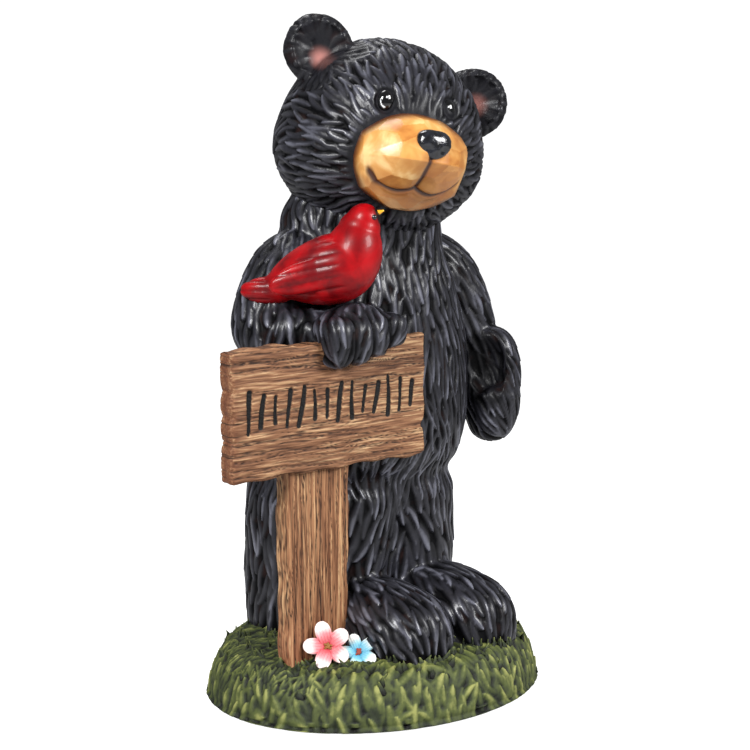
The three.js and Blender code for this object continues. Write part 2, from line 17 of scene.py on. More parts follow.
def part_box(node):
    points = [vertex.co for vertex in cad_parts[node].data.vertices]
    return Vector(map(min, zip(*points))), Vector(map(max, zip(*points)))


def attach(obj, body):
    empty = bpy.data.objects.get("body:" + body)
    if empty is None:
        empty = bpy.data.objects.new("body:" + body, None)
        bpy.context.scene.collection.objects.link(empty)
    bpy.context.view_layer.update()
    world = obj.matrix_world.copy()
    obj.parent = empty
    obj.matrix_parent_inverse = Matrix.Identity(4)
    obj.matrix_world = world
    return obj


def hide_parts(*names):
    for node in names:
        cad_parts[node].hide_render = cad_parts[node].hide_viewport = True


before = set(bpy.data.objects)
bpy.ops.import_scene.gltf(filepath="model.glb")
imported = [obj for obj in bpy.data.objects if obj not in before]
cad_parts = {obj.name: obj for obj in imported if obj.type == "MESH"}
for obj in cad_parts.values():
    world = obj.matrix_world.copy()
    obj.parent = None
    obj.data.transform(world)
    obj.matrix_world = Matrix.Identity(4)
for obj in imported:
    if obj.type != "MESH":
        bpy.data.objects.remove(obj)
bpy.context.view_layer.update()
MM = 0.001

# %% [markdown]
# ## The camera
#
# A photo of a product is taken with a long lens from a few steps away. The camera stands 42 degrees
# to the bear's right, a little above the board, and looks down by 7.6 degrees. Its place was found
# by fitting the board's straight edges, so it is set first and everything is judged through it.

# %% Camera
CAMERA_PLACE = (-0.6705, -0.7446, 0.332)
CAMERA_SIDE = math.radians(42)
CAMERA_PITCH = math.radians(7.6)
CAMERA_LENS = 76.8
SENSOR_WIDTH = 36

camera_data = bpy.data.cameras.new("camera")
camera_data.lens = CAMERA_LENS
camera_data.sensor_width = SENSOR_WIDTH
camera = bpy.data.objects.new("camera", camera_data)
camera.location = CAMERA_PLACE
camera.rotation_euler = (math.pi / 2 - CAMERA_PITCH, 0, -CAMERA_SIDE)
bpy.context.scene.collection.objects.link(camera)
bpy.context.scene.camera = camera
bpy.context.scene.view_settings.view_transform = "Standard"
print("camera", tuple(camera.location))

# %% [markdown]
# ## Clay balls
#
# A sculptor presses balls of clay together before any detail is cut. A dense icosphere is such a
# ball: it has no poles and its points lie evenly, so any rounded mass is a short formula on its
# directions. The balls are then fused into one skin by a voxel remesh, which also rounds the joins.


# %% Tools for shaping points
def unit(vectors):
    length = np.linalg.norm(vectors, axis=-1, keepdims=True)
    return vectors / np.maximum(length, 1e-9)


def ease(low, high, values):
    """0 below low, 1 above high, and a smooth rise between."""
    share = np.clip((values - low) / (high - low), 0, 1)
    return share * share * (3 - 2 * share)


def hill(values, middle, width):
    """1 at the middle, and a smooth fall to nearly 0 at two widths from it."""
    return np.exp(-(((values - middle) / width) ** 2))


def along(stations, shares):
    """Points on a smooth line through evenly spaced stations. Shares run from 0 to 1."""
    stations = np.asarray(stations, float)
    before = 2 * stations[0] - stations[1]
    after = 2 * stations[-1] - stations[-2]
    padded = np.vstack([before, stations, after])
    place = np.clip(shares, 0, 1) * (len(stations) - 1)
    first = np.minimum(place.astype(int), len(stations) - 2)
    t = (place - first)[:, None]
    a, b, c, d = (padded[first + i] for i in range(4))
    bend = (2 * a - 5 * b + 4 * c - d) * t**2 + (3 * b - a - 3 * c + d) * t**3
    return 0.5 * (2 * b + (c - a) * t + bend)


# %% Tools for balls and limbs
def reshape(form, move):
    """Moves every point of a form. move takes an array of points and gives the new ones."""
    points = np.array([vert.co for vert in form.verts])
    for vert, place in zip(form.verts, move(points)):
        vert.co = place
    return form


def upright_edges(form):
    """The edges that run up the side of a form."""
    return [edge for edge in form.edges if abs(edge.verts[0].co.z - edge.verts[1].co.z) > 0.5]


def ball(shape, detail=5):
    """A ball of clay. shape takes directions from its middle and gives points."""
    form = bmesh.new()
    bmesh.ops.create_icosphere(form, subdivisions=detail, radius=1)
    return reshape(form, lambda points: shape(unit(points)))


def squared(directions, squareness):
    """How far each direction reaches on a form that is squarer than a sphere."""
    return (np.abs(directions) ** squareness).sum(axis=1) ** (-1 / squareness)


def pebble(middle, half, detail=5, squareness=2):
    """A rounded lump. It is an ellipsoid at a squareness of 2 and nears a box above that."""
    def shape(directions):
        reach = squared(directions, squareness)[:, None]
        return np.array(middle) + directions * np.array(half) * reach

    return ball(shape, detail)


def limb(stations, radii, count=18, end=0.05, roundness=0.3, detail=4):
    """Balls pressed together along a curved line. The limb thins towards its ends."""
    shares = np.linspace(end, 1 - end, count)
    middles = along(stations, shares)
    sizes = along(np.array(radii)[:, None], shares)[:, 0] * np.sin(np.pi * shares) ** roundness
    return [pebble(middle, (size,) * 3, detail) for middle, size in zip(middles, sizes)]


# %% Tools for meshes
def get_points(mesh):
    flat = np.empty(len(mesh.vertices) * 3)
    mesh.vertices.foreach_get("co", flat)
    return flat.reshape(-1, 3)


def set_points(mesh, points):
    mesh.vertices.foreach_set("co", np.ascontiguousarray(points).ravel())
    mesh.update()


def get_normals(mesh):
    flat = np.empty(len(mesh.vertices) * 3)
    mesh.vertex_normals.foreach_get("vector", flat)
    return flat.reshape(-1, 3)


def paint_points(mesh, name, values):
    """Stores one number for each point, which a material can read."""
    layer = mesh.attributes.get(name) or mesh.attributes.new(name, "FLOAT", "POINT")
    layer.data.foreach_set("value", np.ascontiguousarray(values, dtype=np.float32))


# %% Tools for pieces
def piece_from(name, forms):
    """One smooth-shaded object made of all the forms."""
    whole = bmesh.new()
    for form in forms:
        part = bpy.data.meshes.new("part")
        form.to_mesh(part)
        whole.from_mesh(part)
        form.free()
        bpy.data.meshes.remove(part)
    mesh = bpy.data.meshes.new(name)
    whole.to_mesh(mesh)
    whole.free()
    piece = bpy.data.objects.new(name, mesh)
    bpy.context.scene.collection.objects.link(piece)
    mesh.shade_smooth()
    return piece


def fuse(piece, voxel, smoothing):
    """Melts the overlapping balls of a piece into one closed, even skin."""
    melt = piece.modifiers.new("melt", "REMESH")
    melt.mode = "VOXEL"
    melt.voxel_size = voxel
    soften = piece.modifiers.new("soften", "SMOOTH")
    soften.factor = 0.5
    soften.iterations = smoothing
    graph = bpy.context.evaluated_depsgraph_get()
    old = piece.data
    piece.data = bpy.data.meshes.new_from_object(piece.evaluated_get(graph))
    piece.modifiers.clear()
    bpy.data.meshes.remove(old)
    piece.data.shade_smooth()
    piece.data.name = piece.name
    return piece


def triangles(piece):
    return sum(len(face.vertices) - 2 for face in piece.data.polygons)


# %% [markdown]
# ## The bear's own measure
#
# Limbs and head are given in hundredths of the bear's height, measured from its soles, so they keep
# their proportions at any size. The height itself comes from the frame. The bear stands behind the
# middle of the mound and, seen from the front, a little to the right, which leaves room for the post.

# %% Places on the bear
bear_low, bear_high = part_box("bear")
PART = round(bear_high.z - bear_low.z, 2) / 100
SOLE = bear_low.z
BEAR_X = 10 * MM
BEAR_Y = 37 * MM


def on_bear(x, y, z):
    return np.array([BEAR_X + x * PART, BEAR_Y + y * PART, SOLE + z * PART])


def to_bear(points):
    """The way back: points of the scene in hundredths of the bear's height."""
    return (points - on_bear(0, 0, 0)) / PART


print("one hundredth of the bear is", round(PART / MM, 2), "mm")

# %% [markdown]
# ## The trunk and feet
#
# The trunk is a soft, squarish column: narrow at the neck, widest at the belly, straight down the
# legs, with a crease in front and behind that parts them. A cylinder with many rows takes that
# shape from nine measured sections. The feet are long rounded wedges that stand proud of it.

# %% Trunk
# Each section, from the soles up, is half its width, half its depth and how far it lies forwards.
TRUNK_SECTIONS = [
    (17.5, 13.6, 0.2), (17.9, 13.9, 0.2), (17.9, 13.8, 0.5), (18, 13.8, 1), (19.6, 14.6, 1.3),
    (19.4, 14.6, 1.5), (17.4, 13.8, 1.8), (13.6, 11.6, 2.6), (11.4, 10.2, 4.6),
]
TRUNK_TOP = 73
LEG_TOP = 26
BELLY_HEIGHT = 35
LEG_CREASE = 2.6


def trunk_shape(points):
    share = points[:, 2] + 0.5
    height = share * TRUNK_TOP
    turn = np.arctan2(points[:, 0], -points[:, 1])
    facing = np.stack([np.sin(turn), np.cos(turn)], axis=1)
    ahead = facing[:, 1]
    half_x, half_y, lean = along(TRUNK_SECTIONS, share).T
    from_crease = np.minimum(np.abs(turn), np.pi - np.abs(turn))
    leg_share = np.maximum(0, 1 - (height / LEG_TOP) ** 4)
    crease = LEG_CREASE * leg_share * hill(from_crease, 0, 0.24)
    under_belly = 1.3 * hill(height, LEG_TOP, 2.2) * ease(-0.9, 0.1, ahead)
    belly = 0.9 * hill(height, BELLY_HEIGHT, 8) * np.maximum(ahead, 0)
    bulge = squared(facing, 2.6)
    x = facing[:, 0] * (half_x - crease - under_belly) * bulge
    y = -lean - ahead * (half_y - crease - under_belly + belly) * bulge
    return on_bear(0, 0, 0) + PART * np.stack([x, y, height], axis=1)


def trunk():
    form = bmesh.new()
    bmesh.ops.create_cone(form, cap_ends=True, segments=200, radius1=1, radius2=1, depth=1)
    bmesh.ops.subdivide_edges(form, edges=upright_edges(form), cuts=150)
    return reshape(form, trunk_shape)


# %% Feet
FOOT_HALF = (7.9, 11.8, 10.8)


def foot_middle(side):
    return on_bear(side * 7.2, -16.8, 0)


def foot(side):
    def shape(directions):
        ahead = np.maximum(0, -directions[:, 1])
        half = np.tile(FOOT_HALF, (len(directions), 1))
        half[:, 2] *= np.where(directions[:, 2] > 0, 1 - 0.12 * ahead, 0.4)
        bulge = squared(directions, 3)
        return foot_middle(side) + PART * directions * half * bulge[:, None]

    return ball(shape, 6)


# %% [markdown]
# ## The arms and paws
#
# Both arms are limbs of clay balls. The right one bends at the elbow and ends in a paw whose four
# fingers hang over the board. The left one hangs down to a cupped paw: its palm is pressed in with
# a round tool, and three fingers curl in front of the hollow.

# %% Right arm
board_top = 226 * MM
board_front = -31 * MM
RIGHT_PAW = np.array([-39.5, -24.5, 232]) * MM
RIGHT_PAW_HALF = np.array([7.4, 4.4, 4]) * PART
FINGER_RADIUS = 2.6 * PART
PAW_DRAPE = 15 * MM


def right_arm():
    stations = [
        on_bear(-6, -1, 62), on_bear(-13.8, -2.4, 59.6), on_bear(-19.6, -3, 51.5),
        on_bear(-18.2, -8, 50.6), RIGHT_PAW,
    ]
    return limb(stations, np.array([7, 7.3, 5.6, 5.3, 4.4]) * PART, count=30)


def finger_place(across):
    return RIGHT_PAW[0] + across * (RIGHT_PAW_HALF[0] - FINGER_RADIUS * 0.8)


def right_paw():
    forms = [pebble(RIGHT_PAW, RIGHT_PAW_HALF)]
    for across in np.linspace(-1, 1, 4):
        low = board_top - PAW_DRAPE * (1 - 0.42 * max(0, across + 0.5))
        high = RIGHT_PAW[2] + RIGHT_PAW_HALF[2] * 0.6
        middle = (finger_place(across), board_front - FINGER_RADIUS * 0.3, (low + high) / 2)
        forms.append(pebble(middle, (FINGER_RADIUS, FINGER_RADIUS, (high - low) / 2), 4, squareness=2.8))
    return forms


def between_fingers(points):
    """1 on the three lines between the fingers that hang over the board."""
    lines = np.zeros(len(points))
    for across in np.linspace(-2 / 3, 2 / 3, 3):
        lines = np.maximum(lines, hill(points[:, 0], finger_place(across), 1.1 * MM))
    on_front = ease(board_front + 12 * MM, board_front - 2 * MM, points[:, 1])
    below_wrist = ease(RIGHT_PAW[2] + 14 * MM, RIGHT_PAW[2] + 6 * MM, points[:, 2])
    above_tips = points[:, 2] > board_top - 20 * MM
    return lines * on_front * below_wrist * above_tips


# %% Left arm
UP = np.array([0, 0, 1.0])
LEFT_PAW = on_bear(23.4, -10.6, 39.2)
PALM_FACING = unit(np.array([-0.62, -0.78, 0]))
PALM_ACROSS = unit(np.array([-0.78, 0.62, 0]))
PALM_HOLLOW = LEFT_PAW + PALM_FACING * 5 * PART + PALM_ACROSS * 1.8 * PART + UP * 3.6 * PART
PALM_HALF = np.array([3.9, 3.9, 6.2]) * PART


def press(forms, middle, half, direction):
    """Presses a round tool into forms: points inside it move to its far side."""
    def move(points):
        local = (points - middle) / half
        depth = local @ direction
        flat = local - depth[:, None] * direction
        reach = 1 - (flat**2).sum(axis=1)
        floor = -np.sqrt(np.maximum(reach, 0))
        inside = (reach > 0) & (depth > floor)
        return points + np.where(inside, floor - depth, 0)[:, None] * direction * half

    return [reshape(form, move) for form in forms]


def left_arm():
    stations = [
        on_bear(6, -1, 61), on_bear(16.2, -2.6, 58.6), on_bear(21, -5.2, 51.6), on_bear(22.8, -8, 44),
    ]
    arm = limb(stations, np.array([6.8, 7, 5.8, 5.2]) * PART, count=24)
    paw = pebble(LEFT_PAW, np.array([4.7, 4.9, 10]) * PART, squareness=2.5)
    return press([*arm, paw], PALM_HOLLOW, PALM_HALF, PALM_FACING)


# %% Left palm and fingers
def in_palm(points):
    return ease(1.3, 1.05, np.linalg.norm((points - PALM_HOLLOW) / PALM_HALF, axis=1))


def left_fingers():
    forms = []
    for i in range(3):
        place = LEFT_PAW + (3.2 - 0.5 * i) * PART * PALM_FACING - (1.8 + 2.5 * i) * PART * UP
        reach = (3.6 - 0.5 * i) * PART
        tip = place + reach * 0.5 * PALM_ACROSS + 1.2 * PART * PALM_FACING
        knuckle = place - reach * PALM_ACROSS
        forms += limb([knuckle, place, tip], np.array([1.5, 1.6, 1.4]) * PART, count=9, detail=3)
    return forms


# %% Fuse the body
BODY_VOXEL = 1.17 * MM
nape = pebble(on_bear(-7.4, -2.4, 67), np.array([6.6, 7.4, 7]) * PART)
body_forms = [trunk(), nape, foot(-1), foot(1), *right_arm(), *right_paw(), *left_arm(), *left_fingers()]
body = fuse(piece_from("bear_body", body_forms), BODY_VOXEL, 14)
print("body skin", triangles(body), "triangles")

# %% [markdown]
# ## Carved strokes
#
# The fur is cut with a gouge: overlapping leaf-shaped strokes that follow the body, with sharp
# valleys between them. A bump map can't change an outline, so the strokes are real relief. Each has
# a place, a direction along the skin, a length, a width and a little bend. Strokes are scattered so
# that none crowds another. A point of the skin then rises with the highest stroke that covers it,
# and the tip of a stroke stands above the root of the next one, as shingles do.


# %% Scatter the strokes
def search_tree(places):
    tree = kdtree.KDTree(len(places))
    for i, place in enumerate(places.tolist()):
        tree.insert(place, i)
    tree.balance()
    return tree


def scatter(points, normals, flow, length, width, seed, crowd=(0.46, 0.68), jitter=0.16):
    """Strokes on a skin. flow, length and width are given for each of its points. crowd says how
    near two strokes may lie, as shares of their length and width, and jitter how far they stray."""
    random = np.random.default_rng(seed)
    order = random.permutation(len(points))[: len(points) // 3]
    places = points[order]
    wish = flow[order] + jitter * random.normal(size=(len(order), 3))
    heading = unit(wish - (wish * normals[order]).sum(axis=1)[:, None] * normals[order])
    side = np.cross(normals[order], heading)
    tree = search_tree(places)
    free = np.ones(len(order), bool)
    chosen = []
    for i, place in enumerate(places.tolist()):
        if not free[i]:
            continue
        chosen.append(i)
        reach = crowd[0] * length[order[i]]
        near = np.array([hit[1] for hit in tree.find_range(place, reach)])
        offset = places[near] - places[i]
        ahead = offset @ heading[i] / reach
        aside = offset @ side[i] / (crowd[1] * width[order[i]])
        free[near[ahead**2 + aside**2 < 1]] = False
    chosen = np.array(chosen)
    count = len(chosen)
    return SimpleNamespace(
        place=places[chosen],
        normal=normals[order][chosen],
        heading=heading[chosen],
        side=side[chosen],
        length=length[order][chosen] * random.uniform(0.8, 1.2, count),
        width=width[order][chosen] * random.uniform(0.8, 1.25, count),
        bend=random.uniform(-0.22, 0.22, count),
        level=random.uniform(0.5, 0.75, count),
        tilt=random.uniform(-0.4, 0.4, count),
    )


# %% Height of the strokes
def stroke_heights(points, normals, strokes, sharpness, neighbours=22):
    """From 0 in a valley to 1 on the highest ridge."""
    tree = search_tree(strokes.place)
    neighbours = min(neighbours, len(strokes.place))
    near = np.array([[hit[1] for hit in tree.find_n(place, neighbours)] for place in points.tolist()])
    heights = np.zeros(len(points))
    for column in near.T:
        offset = points - strokes.place[column]
        ahead = (offset * strokes.heading[column]).sum(axis=1) / (strokes.length[column] / 2)
        aside = (offset * strokes.side[column]).sum(axis=1)
        aside = aside + strokes.bend[column] * strokes.length[column] / 2 * ahead**2
        half_width = strokes.width[column] / 2 * np.maximum(1 - ahead**2, 1e-6) ** 0.5
        slant = 1 + strokes.tilt[column] * np.clip(aside / half_width, -1, 1)
        across = np.abs(aside) / half_width
        same_side = (normals * strokes.normal[column]).sum(axis=1) > 0.2
        covered = (np.abs(ahead) < 1) & (across < 1) & same_side
        lift = strokes.level[column] + 0.25 * (0.5 + 0.5 * ahead)
        rise = lift * slant * (1 - np.minimum(across, 1) ** sharpness)
        heights = np.maximum(heights, np.where(covered, rise, 0))
    return heights


# %% Carve a piece
SKIN_LEVEL = 0.6


def uneven(points, size):
    """A slow swell from -1 to 1 over a surface, so that no stretch of it is quite even."""
    x, y, z = (points / size).T
    return np.sin(x + 1.3 * np.sin(z)) * np.sin(z * 0.9 + 1.1 * np.sin(y)) * np.cos(y * 0.8 + 0.5)


def carve(piece, flow, length, width, depth, seed, sharpness=1.5, jitter=0.16, sunk=0):
    """Cuts strokes into a piece and stores their height as paint. The skin keeps its place where
    they have the height of SKIN_LEVEL. sunk is 1 where a line lies low."""
    mesh = piece.data
    points = get_points(mesh)
    normals = get_normals(mesh)
    strokes = scatter(points, normals, flow, length, width, seed, jitter=jitter)
    heights = stroke_heights(points, normals, strokes, sharpness) * (1 - sunk)
    move = (heights - SKIN_LEVEL) * depth + uneven(points, 9 * MM) * 0.6 * MM
    set_points(mesh, points + normals * move[:, None])
    paint_points(mesh, "ridge", heights)
    print(piece.name, len(strokes.place), "strokes")


# %% [markdown]
# ## The coat on the body
#
# On the belly and back the strokes are long, thin and wavy and run down. Those of the chest and the
# shoulders are shorter and broader, and those of the legs are the broadest. Over the feet they run
# forwards to the toes. A few zones of the body, each a number from 0 to 1 at every point, blend one
# size of stroke into the next. The body is then cut in two just above the legs, because each half
# holds all that one mesh should. The cut's edge is marked sharp, so that the shading of the coat runs
# over it without a line.

# %% Carve the body
def body_flow(points):
    outward = points - on_bear(0, -1, 0)
    outward[:, 2] = 0
    flow = 0.6 * unit(outward) - UP
    side = np.cross(unit(outward), UP)
    sway = 0.3 * np.sin(points[:, 2] / (11 * MM) + points[:, 0] / (17 * MM))
    flow = flow + side * sway[:, None]
    ahead, height = to_bear(points)[:, 1:].T
    foot_share = ease(13, 8, height) * ease(-9, -14, ahead)
    toes = np.array([0, -0.9, -0.8])
    return flow * (1 - foot_share)[:, None] + toes * foot_share[:, None]


body_points = get_points(body.data)
body_points[:, 2] = np.maximum(body_points[:, 2], SOLE)
set_points(body.data, body_points)
ahead, height = to_bear(body_points)[:, 1:].T
above_legs = ease(16, 30, height)
shoulders = ease(42, 56, height)
feet = ease(-14, -18, ahead) * ease(14, 11, height)
on_paw = ease(36 * MM, 26 * MM, np.linalg.norm(body_points - RIGHT_PAW, axis=1))
body_length = (24 + 3 * above_legs - 4 * feet - 7 * shoulders) * MM
body_width = (8.8 - 3.8 * above_legs - 2 * feet + 2.4 * shoulders + 0.6 * on_paw) * MM
body_depth = (2.4 - 0.4 * above_legs - 0.1 * feet + 0.35 * shoulders) * MM
# Lowering the palm's hollow and the lines between the fingers also paints them near black, as painted
# shade.
sunk = np.maximum(0.7 * between_fingers(body_points), 0.3 * in_palm(body_points))
carve(body, body_flow(body_points), body_length, body_width, body_depth, seed=11, sharpness=2.2, sunk=sunk)

# %% Cut the body above the legs
def cut_at(piece, height, keep_above, name):
    """A copy of one side of a piece, closed where it was cut."""
    form = bmesh.new()
    form.from_mesh(piece.data)
    cut = bmesh.ops.bisect_plane(
        form, geom=[*form.verts, *form.edges, *form.faces], plane_co=(0, 0, height), plane_no=(0, 0, 1),
        clear_inner=keep_above, clear_outer=not keep_above,
    )
    rim = [item for item in cut["geom_cut"] if isinstance(item, bmesh.types.BMEdge)]
    bmesh.ops.holes_fill(form, edges=rim, sides=0)
    half = piece_from(name, [form])
    on_cut = np.abs(get_points(half.data)[:, 2] - height) < 0.001 * MM
    ends = np.empty(len(half.data.edges) * 2, int)
    half.data.edges.foreach_get("vertices", ends)
    sharp = half.data.attributes.new("sharp_edge", "BOOLEAN", "EDGE")
    sharp.data.foreach_set("value", on_cut[ends.reshape(-1, 2)].all(axis=1))
    print(name, triangles(half), "triangles")
    return half


CUT_HEIGHT = SOLE + 29 * PART
upper_body = cut_at(body, CUT_HEIGHT, True, "bear_upper_body")
lower_body = cut_at(body, CUT_HEIGHT, False, "bear_legs")
bpy.data.objects.remove(body)

# %% [markdown]
# ## The head
#
# The head has its own frame: x to the bear's right, y forward and z up, turned towards the sign and
# leaning to its left shoulder. The skull is a broad ball with heavy cheeks. The ears are thick discs
# with a pressed dish. The strokes start around the muzzle and run back from it, and over each ear
# they run out to its rim. They are shorter than on the belly, and the brow and the skin around the
# eyes stay nearly smooth.

# %% Head frame and skull
HEAD_FRAME = (
    Matrix.Translation(Vector(on_bear(0.4, -7.4, 80.6)))
    @ Matrix.Rotation(math.pi - math.radians(16), 4, "Z")
    @ Matrix.Rotation(math.radians(-8), 4, "Y")
    @ Matrix.Scale(PART, 4)
)
HEAD_TURN = np.array(HEAD_FRAME)[:3, :3]
HEAD_MIDDLE = np.array(HEAD_FRAME)[:3, 3]
SKULL_HALF = np.array([16.6, 15.2, 16])
MUZZLE_MIDDLE = np.array([1.1, 13.3, -3.7])
MUZZLE_HALF = np.array([9.1, 7.5, 7.5])
EYES = [np.array([6.2, 13, 4.9]), np.array([-4.6, 12.8, 5.1])]
EYE_RING = np.array([1.15, 1, 0.95])
# lean and facing are in degrees, and pink is the middle of the pink paint.
EARS = [
    SimpleNamespace(middle=np.array([12.9, 0.8, 12.1]), lean=42, facing=-12, size=1, pink=(0.5, -1.4)),
    SimpleNamespace(middle=np.array([-15.3, 0.8, 8.2]), lean=-60, facing=-22, size=1.04, pink=(-0.5, 0.2)),
]
EAR_HALF = np.array([5.5, 2.8, 5.8])


def from_head(points):
    return points @ HEAD_TURN.T + HEAD_MIDDLE


def to_head(points):
    return (points - HEAD_MIDDLE) @ np.linalg.inv(HEAD_TURN).T


def skull_shape(directions):
    jowl = 1 + 0.07 * hill(directions[:, 2], -0.35, 0.4)
    half = np.tile(SKULL_HALF, (len(directions), 1))
    half[:, 0] *= jowl
    return from_head(directions * half)


# %% Ears
def ear_turn(place):
    facing = Matrix.Rotation(math.radians(place.facing), 3, "Z")
    lean = Matrix.Rotation(math.radians(place.lean), 3, "Y")
    return np.array(facing @ lean) * place.size


def ear(place):
    def shape(directions):
        local = directions * EAR_HALF
        from_middle = np.hypot(local[:, 0] / 4.2, (local[:, 2] - 0.2) / 4.4)
        dish = 2.6 * np.maximum(0, 1 - from_middle**2) ** 0.8 * (directions[:, 1] > 0)
        local[:, 1] -= dish
        return from_head(local @ ear_turn(place).T + place.middle)

    return ball(shape, 6)


HEAD_VOXEL = 0.94 * MM
head_forms = [ball(skull_shape, 7), *[ear(place) for place in EARS]]
head = fuse(piece_from("bear_head", head_forms), HEAD_VOXEL, 8)
print("head skin", triangles(head), "triangles")

# %% Carve the head
head_points = get_points(head.data)
head_local = to_head(head_points)
head_flow = unit(head_local - MUZZLE_MIDDLE * np.array([1, 0.9, 1]))
on_nape = ease(2, -10, head_local[:, 1])
head_flow = head_flow - 1.3 * UP * on_nape[:, None]
dish = np.zeros(len(head_points))
pink = np.zeros(len(head_points))
on_ears = np.zeros(len(head_points))
for place in EARS:
    on_ear = (head_local - place.middle) @ ear_turn(place) / place.size**2
    spread = np.hypot(on_ear[:, 0] / EAR_HALF[0], on_ear[:, 2] / EAR_HALF[2])
    ear_share = ease(1.35, 1.1, spread) * ease(7, 4, np.abs(on_ear[:, 1]))
    # Behind, the strokes spread from the root of the ear, which lies below its middle.
    from_root = on_ear * np.array([1, 0.2, 1])
    from_root[:, 2] += 5 * ease(1, -0.5, on_ear[:, 1])
    ear_flow = from_root @ ear_turn(place).T
    head_flow = head_flow * (1 - ear_share)[:, None] + unit(ear_flow) * ear_share[:, None]
    off_skull = ease(0.98, 1.04, np.linalg.norm(head_local / SKULL_HALF, axis=1))
    in_dish = ease(0.72, 0.5, spread) * (on_ear[:, 1] > -1) * (on_ear[:, 1] < 3.2) * off_skull
    dish = np.maximum(dish, in_dish)
    on_ears = np.maximum(on_ears, ear_share)
    pink_spread = np.hypot((on_ear[:, 0] - place.pink[0]) / 1.9, (on_ear[:, 2] - place.pink[1]) / 2.2)
    pink = np.maximum(pink, 0.85 * ease(1.25, 0.1, pink_spread) * in_dish)
head_flow = head_flow @ HEAD_TURN.T / PART

muzzle_gap = np.linalg.norm((head_local - MUZZLE_MIDDLE) / MUZZLE_HALF, axis=1)
eye_gap = np.minimum(*[np.linalg.norm((head_local - eye) * EYE_RING, axis=1) for eye in EYES])
brow_gap = np.hypot((head_local[:, 0] - 0.7) / 4.4, (head_local[:, 2] - 4.6) / 2.4)
front = head_local[:, 1] > 8
furred = ease(1.02, 1.12, muzzle_gap) * ease(1.7, 2.3, eye_gap)
furred = furred * np.where(front, 0.5 + 0.5 * ease(0.6, 1.2, brow_gap), 1)
furred = furred * (1 - 0.4 * dish) * (1 - 0.5 * on_ears)
print("smooth share of the head", round(float((furred < 0.5).mean()), 3))

# %% Cut the strokes of the head
head_normals = get_normals(head.data)
behind = ease(6, -6, head_local[:, 1])
head_length = (18 + 6 * behind - 5 * on_ears) * MM
head_width = (5.5 + 0.3 * behind) * MM
head_strokes = scatter(head_points, head_normals, head_flow, head_length, head_width, seed=5, jitter=0.13)
head_heights = stroke_heights(head_points, head_normals, head_strokes, 2.4)
head_heights = SKIN_LEVEL + (head_heights - SKIN_LEVEL) * (0.1 + 0.9 * furred)
# Each eye lies in a sunk ring, and a low lid stands around that.
socket = hill(eye_gap, 1.7, 0.3)
lid = hill(eye_gap, 2.7, 0.45)
head_move = (head_heights - SKIN_LEVEL) * 2.1 * MM + uneven(head_points, 8 * MM) * 0.5 * MM
head_move = head_move + (0.1 * lid - 0.3 * socket) * PART
# The sunk ring is also painted darker and less glossy, as painted shade.
head_heights = head_heights - 0.4 * socket
set_points(head.data, head_points + head_normals * head_move[:, None])
paint_points(head.data, "ridge", head_heights)
paint_points(head.data, "pink", pink)
paint_points(head.data, "smooth", 1 - furred)
print("head", len(head_strokes.place), "strokes")

# %% [markdown]
# ## The muzzle
#
# The muzzle is a golden ball set in the face, cut in flat facets with a knife. The mouth is one
# incised line that rises to both cheeks and dips in two lobes under the nose, where a short groove
# joins it. The chin lies back below the lip. It is its own piece, because its paint is its own.

# %% Muzzle
MOUTH_CORNER = math.radians(66)
FACET_COUNT = 70


def mouth_height(turn):
    side = np.clip(turn / MOUTH_CORNER, -1, 1)
    return -0.56 + 0.24 * side**2 - 0.14 * np.sin(np.pi * np.abs(side))


def faceted(directions, count, seed):
    """How far each direction reaches to its nearest flat cut, and that cut's painted light and shade."""
    random = np.random.default_rng(seed)
    cuts = unit(random.normal(size=(count, 3)))
    cut_lightness = random.uniform(0, 1, count)
    nearest = np.argmax(directions @ cuts.T, axis=1)
    reach = np.cos(0.22) / np.maximum((directions * cuts[nearest]).sum(axis=1), 0.5)
    return reach, cut_lightness[nearest]


# %% Shape the muzzle
def muzzle_shape(directions):
    turn = np.arctan2(directions[:, 0], directions[:, 1])
    below = directions[:, 2] - mouth_height(turn)
    ahead = np.maximum(directions[:, 1], 0)
    on_line = ease(1.06, 0.97, np.abs(turn) / MOUTH_CORNER)
    # The mouth is a groove that is wider at its corners, with painted shade along its fold.
    corner = hill(np.abs(turn) / MOUTH_CORNER, 0.9, 0.13)
    groove = hill(below, 0, 0.042 + 0.09 * corner) * on_line
    fold_shade = hill(below, -0.02, 0.14) * on_line
    under_lip = hill(below, -0.14, 0.13) * on_line
    in_philtrum = ease(-0.62, -0.52, directions[:, 2]) * ease(0.2, 0.05, directions[:, 2])
    philtrum = hill(directions[:, 0], 0, 0.045) * in_philtrum
    lobes = hill(directions[:, 0], 0, 0.2) * in_philtrum
    flat_reach, facet_lightness = faceted(directions, FACET_COUNT, 4)
    reach = 1 + 0.55 * (flat_reach - 1)
    reach = reach - 0.06 * groove - 0.05 * under_lip - 0.035 * philtrum - 0.04 * lobes
    local = directions * MUZZLE_HALF * reach[:, None]
    local[:, 1] += 0.85 * np.minimum(0, local[:, 2]) * ahead
    # Painted shade also darkens the lower jaw below the mouth and the underside of the chin.
    jaw_shade = np.maximum(0.8 * ease(-0.02, -0.2, below), 0.9 * ease(-0.7, -0.92, directions[:, 2]))
    shaded = np.maximum(np.maximum(fold_shade, 0.8 * lobes), jaw_shade)
    return local + MUZZLE_MIDDLE, np.maximum(groove, philtrum), shaded, facet_lightness


muzzle = piece_from("bear_muzzle", [ball(lambda directions: directions, 7)])
muzzle_directions = unit(get_points(muzzle.data))
muzzle_local, mouth_paint, muzzle_shade, facet_highlight_paint = muzzle_shape(muzzle_directions)
set_points(muzzle.data, from_head(muzzle_local))
above_face = np.linalg.norm(muzzle_local / (SKULL_HALF * 1.03), axis=1)
paint_points(muzzle.data, "mouth", mouth_paint)
paint_points(muzzle.data, "fold_shade", muzzle_shade)
paint_points(muzzle.data, "facet_highlight", facet_highlight_paint)
paint_points(muzzle.data, "rim", ease(1.2, 0.99, above_face))
print("muzzle", triangles(muzzle), "triangles")
